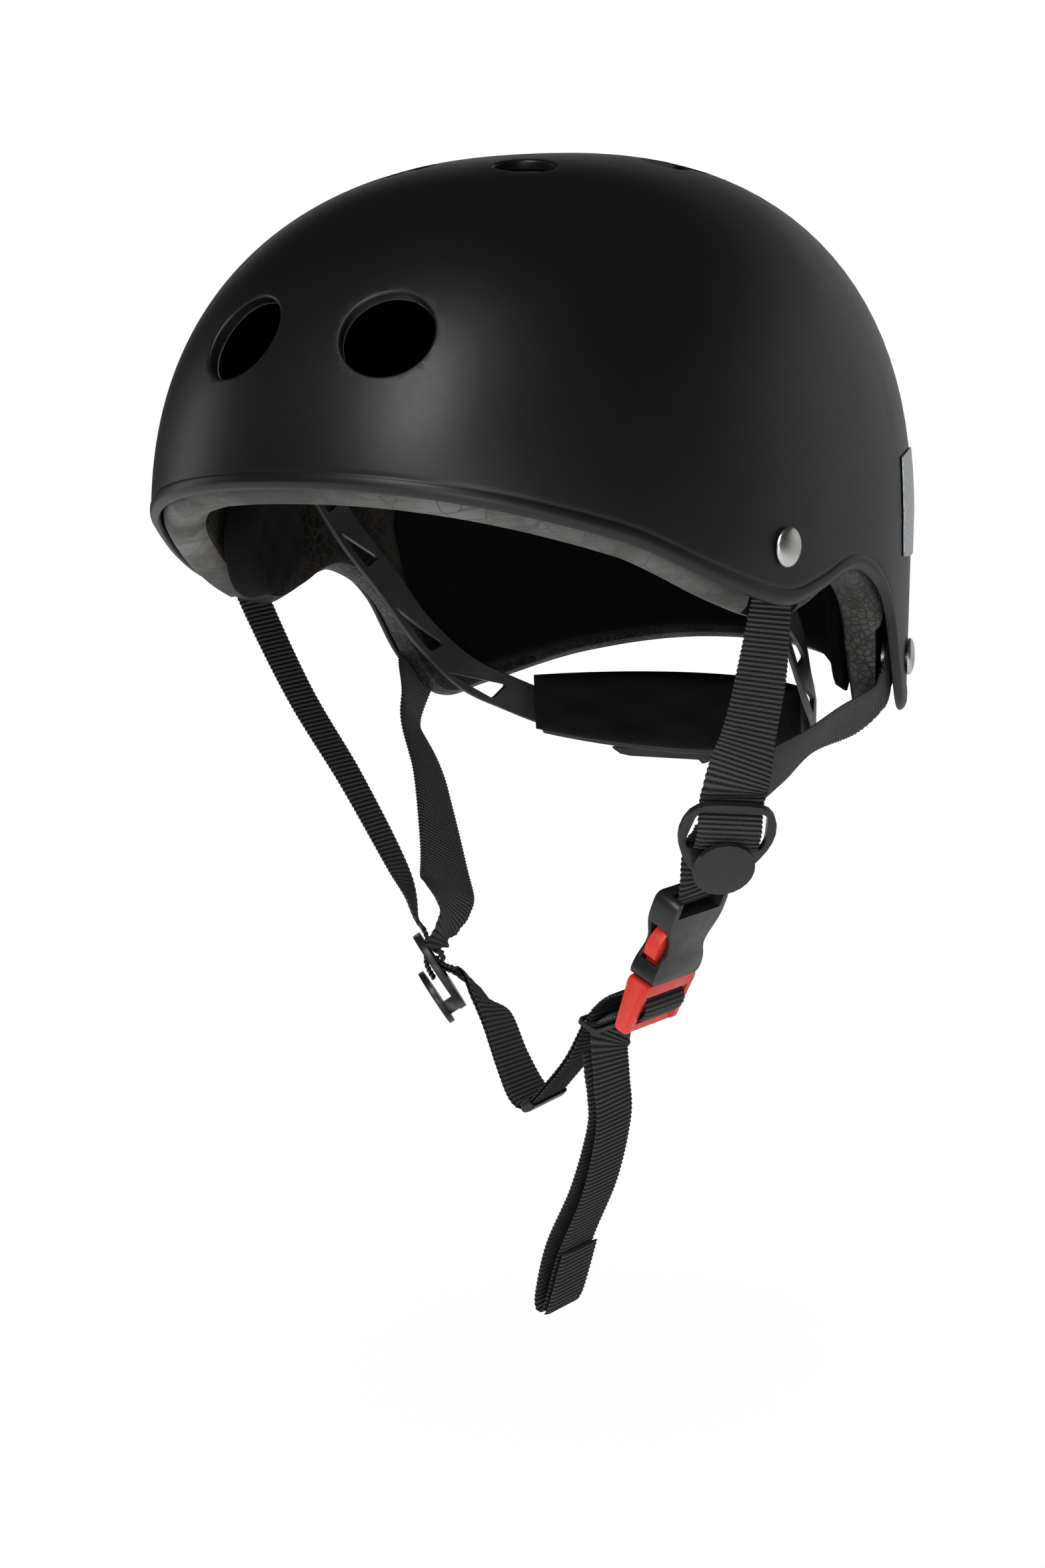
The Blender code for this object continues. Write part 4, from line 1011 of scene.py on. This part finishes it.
def web(name, route, wall=WEB, layers=1):
    """Ribbed webbing along a route, in one or more layers. Returns the piece and its length in metres."""
    spots = [along_route(route, k / WEB_SAMPLES) for k in range(WEB_SAMPLES + 1)]
    lengths = [0.0]
    for a, b in zip(spots, spots[1:]):
        lengths.append(lengths[-1] + (b[0] - a[0]).length)
    total = lengths[-1]
    rows = max(8, round(total / RIB * RIB_STEPS))
    shape = bmesh.new()
    uv = shape.loops.layers.uv.new("UVMap")
    at = {}
    ply = wall / layers
    for layer in range(layers):
        lift = (layer - (layers - 1) / 2) * ply
        grids = ([], [])
        k = 0
        for j in range(rows + 1):
            s = total * j / rows
            while k < WEB_SAMPLES - 1 and lengths[k + 1] < s:
                k += 1
            u = (s - lengths[k]) / max(lengths[k + 1] - lengths[k], 1e-9)
            middle = spots[k][0].lerp(spots[k + 1][0], u)
            way = spots[k][1].lerp(spots[k + 1][1], u).normalized()
            across = spots[k][2].lerp(spots[k + 1][2], u).normalized()
            out = way.cross(across)
            rib = math.cos(2 * math.pi * s / RIB + layer * LAYER_SHIFT)
            for face, grid in zip((1, -1), grids):
                line = []
                for i in range(WEB_COLUMNS + 1):
                    t = -1 + 2 * i / WEB_COLUMNS
                    edge = abs(t) ** SELVEDGE_POWER
                    half = WEB_WIDTH / 2 + SELVEDGE_WAVE * rib * edge
                    groove = RIB_HEIGHT / 2 * (1 - rib) * (1 - SELVEDGE_RIB * edge)
                    thick = ply / 2 - WEB_CLEAR - groove - SELVEDGE_THIN * ply * edge * edge
                    place = middle + across * t * half + out * (lift + face * max(thick, WEB_LEAST))
                    v = shape.verts.new(place * MM)
                    at[v] = (t * WEB_WIDTH / 2, s)
                    line.append(v)
                grid.append(line)
        top, bottom = grids
        quads = []
        for j in range(rows):
            for i in range(WEB_COLUMNS):
                quads.append((top[j][i], top[j][i + 1], top[j + 1][i + 1], top[j + 1][i]))
                quads.append((bottom[j][i + 1], bottom[j][i], bottom[j + 1][i], bottom[j + 1][i + 1]))
            quads.append((top[j][0], top[j + 1][0], bottom[j + 1][0], bottom[j][0]))
            quads.append((top[j + 1][-1], top[j][-1], bottom[j][-1], bottom[j + 1][-1]))
        for j in (0, rows):
            for i in range(WEB_COLUMNS):
                quads.append((top[j][i], top[j][i + 1], bottom[j][i + 1], bottom[j][i]))
        for quad in quads:
            for corner in shape.faces.new(quad).loops:
                corner[uv].uv = at[corner.vert]
    piece = link(name, shape, NYLON)
    settle(piece, WEB_SMOOTH)
    return piece, total * MM * layers


# Fittings: middle, way along and way across
LEFT_DIVIDER = ((83.1, -45.4, -57.4), (-0.424, 0.274, -0.864), (-0.708, -0.695, 0.127))
RIGHT_DIVIDER = ((-29.0, -33.5, -110.0), (0.513, 0.143, -0.846), (-0.58, 0.8, -0.1))
BUCKLE_MOUTH = (56.0, -37.3, -102.0)
BUCKLE_AXIS = (-0.42, 0.055, -0.905)
BUCKLE_ACROSS = (-0.12, -0.99, 0.0)
# Points of the free webbing, each with the way across it
STRAP_ROUTES = {
    ("front", "left"): (
        ((94.0, -39.5, -8.5), (0.35, 0.93, 0.0)), ((91.0, -43.5, -27.0), (0.45, 0.88, 0.0)),
    ),
    ("front", "right"): (
        ((-79.2, -33.9, -19.7), (-0.2, 0.98, 0.0)), ((-60.3, -32.5, -49.5), (-0.25, 0.97, 0.0)),
        ((-43.8, -31.5, -79.0), (-0.35, 0.93, 0.0)),
    ),
    ("rear", "left"): (
        ((88.5, 43.0, -31.0), (0.5, -0.15, 0.85)), ((86.5, 18.0, -33.8), (0.6, -0.2, 0.77)),
        ((86.5, -5.0, -38.6), (0.5, -0.4, 0.8)),
    ),
    ("rear", "right"): (
        ((-81.0, 35.0, -39.3), (-0.45, 0.89, 0.1)), ((-63.6, 18.7, -58.0), (-0.25, 0.97, 0.0)),
        ((-43.4, -5.7, -81.0), (-0.05, 1.0, 0.0)), ((-33.2, -20.5, -88.6), (-0.15, 0.98, 0.0)),
        ((-29.9, -26.4, -93.4), (-0.25, 0.97, 0.0)), ((-29.4, -30.2, -97.6), (-0.3, 0.95, -0.1)),
    ),
}
# A strap's start at its rivet: steps round and up the skin, and how far in from the webbing's own depth
STRAP_HEADS = {
    "front": ((0, 10, 0.0), (0, 0, 0.0), (0, -13, 0.3)),
    "rear": ((4, 7, 0.3), (0, 0, 0.3), (-5, -8, 0.8)),
}
# Points along and off a fitting, as the webbing passes through it
DIVIDER_THREAD = ((-4.4, -0.9), (-2.2, -1.2), (0.2, -2.4), (2.6, -4.1), (7.8, -5.9))
SOCKET_THREAD = ((-33.2, 0.6), (-29.3, 1.4), (-26.8, 0.6), (-25.9, -1.6))
FRONT_END = (
    ((0, -19, -3), (0, -14, -3), (0, -10.6, -2.2), (0, -8, -0.1), (0, -5, 2.0), (0, -2, 2.7), (0, 1, 2.8)),
    (1.0, 0.0),
)
# A strap's end at its divider, with the shares of rearward and downward in the way across it
STRAP_ENDS = {
    ("front", "left"): FRONT_END,
    ("front", "right"): FRONT_END,
    ("rear", "left"): (((13, -10.5, -17), (8, -9.5, -10.5), (3, -8.5, -6.6)), (0.1, 0.99)),
    ("rear", "right"): (((0, -7, -3.9), (0, -4.4, -3.3), (0, -2.2, -3.2)), (1.0, 0.55)),
}
ROLL_ROUTE = (
    (21.6, -9.6), (18.6, -7.2), (15.8, -3.4), (14.6, 0.2), (13.2, 3.4), (10.2, 4.6), (7.4, 3.4), (6.2, 0.2),
    (7.2, -3.0), (10.5, -7.2), (15.0, -11.2), (20.2, -13.6),
)
CHIN_HEAD = ((21.4, -13.6), (25.2, -13.75), (28.0, -14.7))
TAIL_HEAD = ((22.4, -10.1), (25.2, -10.9), (27.8, -10.5))
CHIN_ROUTE = (
    ((24.5, -36.0, -131.4), (0.0, 1.0, 0.0)), ((15.7, -36.0, -141.5), (0.0, 1.0, 0.0)),
    ((9.0, -36.0, -147.8), (0.0, 1.0, 0.0)), ((4.0, -36.0, -146.0), (0.0, 1.0, 0.0)),
    ((-1.7, -35.5, -135.8), (-0.1, 1.0, 0.0)), ((-7.6, -34.5, -122.8), (-0.2, 1.0, 0.0)),
    ((-14.5, -33.0, -116.6), (-0.58, 0.8, -0.1)),
)
KEEPER_PLAY = 0.3
KEEPER_WALL = 0.6
KEEPER_CORNER = 1.2
KEEPER_STEPS = 8
KEEPER_TAPER = 0.35
KEEPER_TAPER_POWER = 4
KEEPER_WELD = 1e-7
KEEPER_SMOOTH = 40
KEEPER_PLACE = 0.35
KEEPER_LENGTH = 4.4
TAIL_ROUTE = (
    (35.6, -37.0, -128.0), (36.5, -38.0, -139.3), (36.5, -38.0, -152.3), (30.7, -38.0, -173.3),
    (20.8, -38.0, -194.3), (15.4, -38.0, -210.3), (13.8, -38.0, -213.9), (11.6, -38.0, -213.3),
    (11.9, -38.0, -207.3), (16.6, -38.0, -191.3), (26.6, -38.0, -171.3), (33.4, -38.0, -151.3),
    (33.9, -38.0, -141.3), (33.2, -38.0, -134.3), (32.7, -37.6, -128.0),
)
# The tail's hem: which of its route's points it lies along, and how far off it
HEM_FROM = 4
HEM_POINTS = 3
HEM_GAP = 0.05


def make_webbing():
    """All straps of the harness."""
    left = axes_matrix(LEFT_DIVIDER[0], LEFT_DIVIDER[2], LEFT_DIVIDER[1])
    right = axes_matrix(RIGHT_DIVIDER[0], RIGHT_DIVIDER[2], RIGHT_DIVIDER[1])
    buckle = axes_matrix(BUCKLE_MOUTH, BUCKLE_ACROSS, BUCKLE_AXIS)
    across = buckle.col[0].to_3d()
    dividers = {"left": left, "right": right}
    for side, sign in SIDES:
        divider = dividers[side]
        for label, (degrees, height) in RIVETS:
            spots = []
            for turn, rise, off in STRAP_HEADS[label]:
                spots.append(on_skin((degrees + turn) * sign, height + rise, WEB_INSET + off))
            at = skin_matrix(degrees * sign, height)
            width = at.col[2].to_3d().cross(spots[-1] - spots[0]).normalized()
            route = [(spot, width) for spot in spots]
            route += STRAP_ROUTES[label, side]
            ends, (rearward, down) = STRAP_ENDS[label, side]
            width = (divider.col[0] * -sign * rearward + divider.col[1] * down).to_3d()
            route += [(on_matrix(divider, -sign * x, y, z), width) for x, y, z in ends]
            piece, length = web(f"web_{label}_{side}", steady(route))
            ring = circle_outline(RIVET_HOLE_RADIUS, 0)
            cut(piece, [prism("eyelet", at, ring, *RIVET_HOLE_SPAN)])
            dress(piece, "helmet", "web_black", f"strap_{label}_{side}")

    lead = [(on_matrix(left, 0, y, z), left.col[0].to_3d()) for y, z in DIVIDER_THREAD]
    lead += [(on_matrix(buckle, 0, y, z), across) for y, z in SOCKET_THREAD]
    piece, length = web("web_socket", steady(lead))
    dress(piece, "helmet", "web_black", "strap_socket")

    piece, length = web("web_roll", steady([(on_matrix(buckle, 0, y, z), across) for y, z in ROLL_ROUTE]))
    dress(piece, "plug", "web_black", "strap_roll")

    chin = [(on_matrix(buckle, 0, y, z), across) for y, z in CHIN_HEAD]
    chin += CHIN_ROUTE
    chin += [(on_matrix(right, 0, y, z), right.col[0].to_3d()) for y, z in reversed(DIVIDER_THREAD)]
    chin = steady(chin)
    piece, length = web("web_chin", chin, CHIN_WALL, 2)
    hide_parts("strap_chin")
    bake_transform(piece)
    make_keeper(chin, length / MM / 2)

    tail = [(on_matrix(buckle, 0, y, z), across) for y, z in TAIL_HEAD]
    tail += [(p, (0.05, 1.0, 0.0)) for p in TAIL_ROUTE]
    tail = steady(tail)
    piece, length = web("web_tail", tail)
    dress(piece, "plug", "web_black", "strap_tail")
    make_hem(tail)


def make_hem(tail):
    """The tail's end, folded over its outer face and sewn down."""
    first = len(TAIL_HEAD) + HEM_FROM
    route = []
    for k in range(HEM_POINTS):
        point, across = tail[first + k]
        way = tail[first + k + 1][0] - tail[first + k - 1][0]
        route.append((point - way.cross(across).normalized() * (WEB + HEM_GAP), across))
    piece, length = web("web_hem", route)
    dress(piece, "plug", "web_black")


def make_keeper(chin, length):
    """A snug sleeve round the chin strap that follows its bend."""
    half = WEB_WIDTH / 2 + KEEPER_PLAY
    thick = CHIN_WALL / 2 + GAP
    span = KEEPER_LENGTH / 2 / length
    rings = []
    for grow in (0.0, KEEPER_WALL):
        w, h = half + grow, thick + grow
        rings.append(rounded([(-w, -h), (w, -h), (w, h), (-w, h)], KEEPER_CORNER + grow))
    outer, inner = [], []
    for k in range(KEEPER_STEPS + 1):
        place = -1 + 2 * k / KEEPER_STEPS
        middle, way, across = along_route(chin, KEEPER_PLACE + span * place)
        out = way.cross(across)
        squeeze = 1 - KEEPER_TAPER * place**KEEPER_TAPER_POWER
        line = [(x0 + (x1 - x0) * squeeze, y0 + (y1 - y0) * squeeze) for (x0, y0), (x1, y1) in zip(*rings)]
        outer.append([middle + across * x + out * y for x, y in line])
        inner.append([middle + across * x + out * y for x, y in rings[0]])
    loops = outer + inner[::-1] + outer[:1]
    piece = weld(loft("keeper_sleeve", loops, FITTING, closed=False), KEEPER_WELD)
    settle(piece, KEEPER_SMOOTH)
    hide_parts("strap_keeper")
    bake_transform(piece)


# Solids that stay, with softened edges


BEVEL_STEPS = 3


def soften(node, look, width):
    """Give a CAD node its finish and a small bevel."""
    obj = NODES[node]
    for k in range(len(obj.material_slots)):
        obj.material_slots[k].material = look
    obj.data.shade_smooth()
    if width:
        join = obj.modifiers.new("weld", "WELD")
        join.merge_threshold = WELD_GAP
        bevel = obj.modifiers.new("edge", "BEVEL")
        bevel.width = width * MM
        bevel.segments = BEVEL_STEPS
        bevel.limit_method = "ANGLE"
        bevel.angle_limit = math.radians(SMOOTH_ANGLE)
        bevel.harden_normals = True


def finish_solids():
    for side, _ in SIDES:
        soften(f"divider_{side}", FITTING, 0.5)
        soften(f"temple_anchor_{side}", FITTING, 0.4)
        soften(f"rack_{side}", FITTING, 0.15)
        soften(f"reflector_{side}", FILM, 0)
    soften("buckle_socket", FITTING, 0.8)
    soften("buckle_plug", RED, 0.6)
    soften("buckle_prong_front", RED, 1.2)
    soften("buckle_prong_rear", RED, 1.2)
    soften("cradle_frame", BAND, 0.4)
    soften("cradle_cover", FITTING, 0.8)
    soften("dial_knob", FITTING, 0.4)
    soften("strap_ring", RUBBER, 0.6)


make_camera()
make_stage()
make_cap()
make_rivets()
make_pads()
make_bands()
make_webbing()
finish_solids()
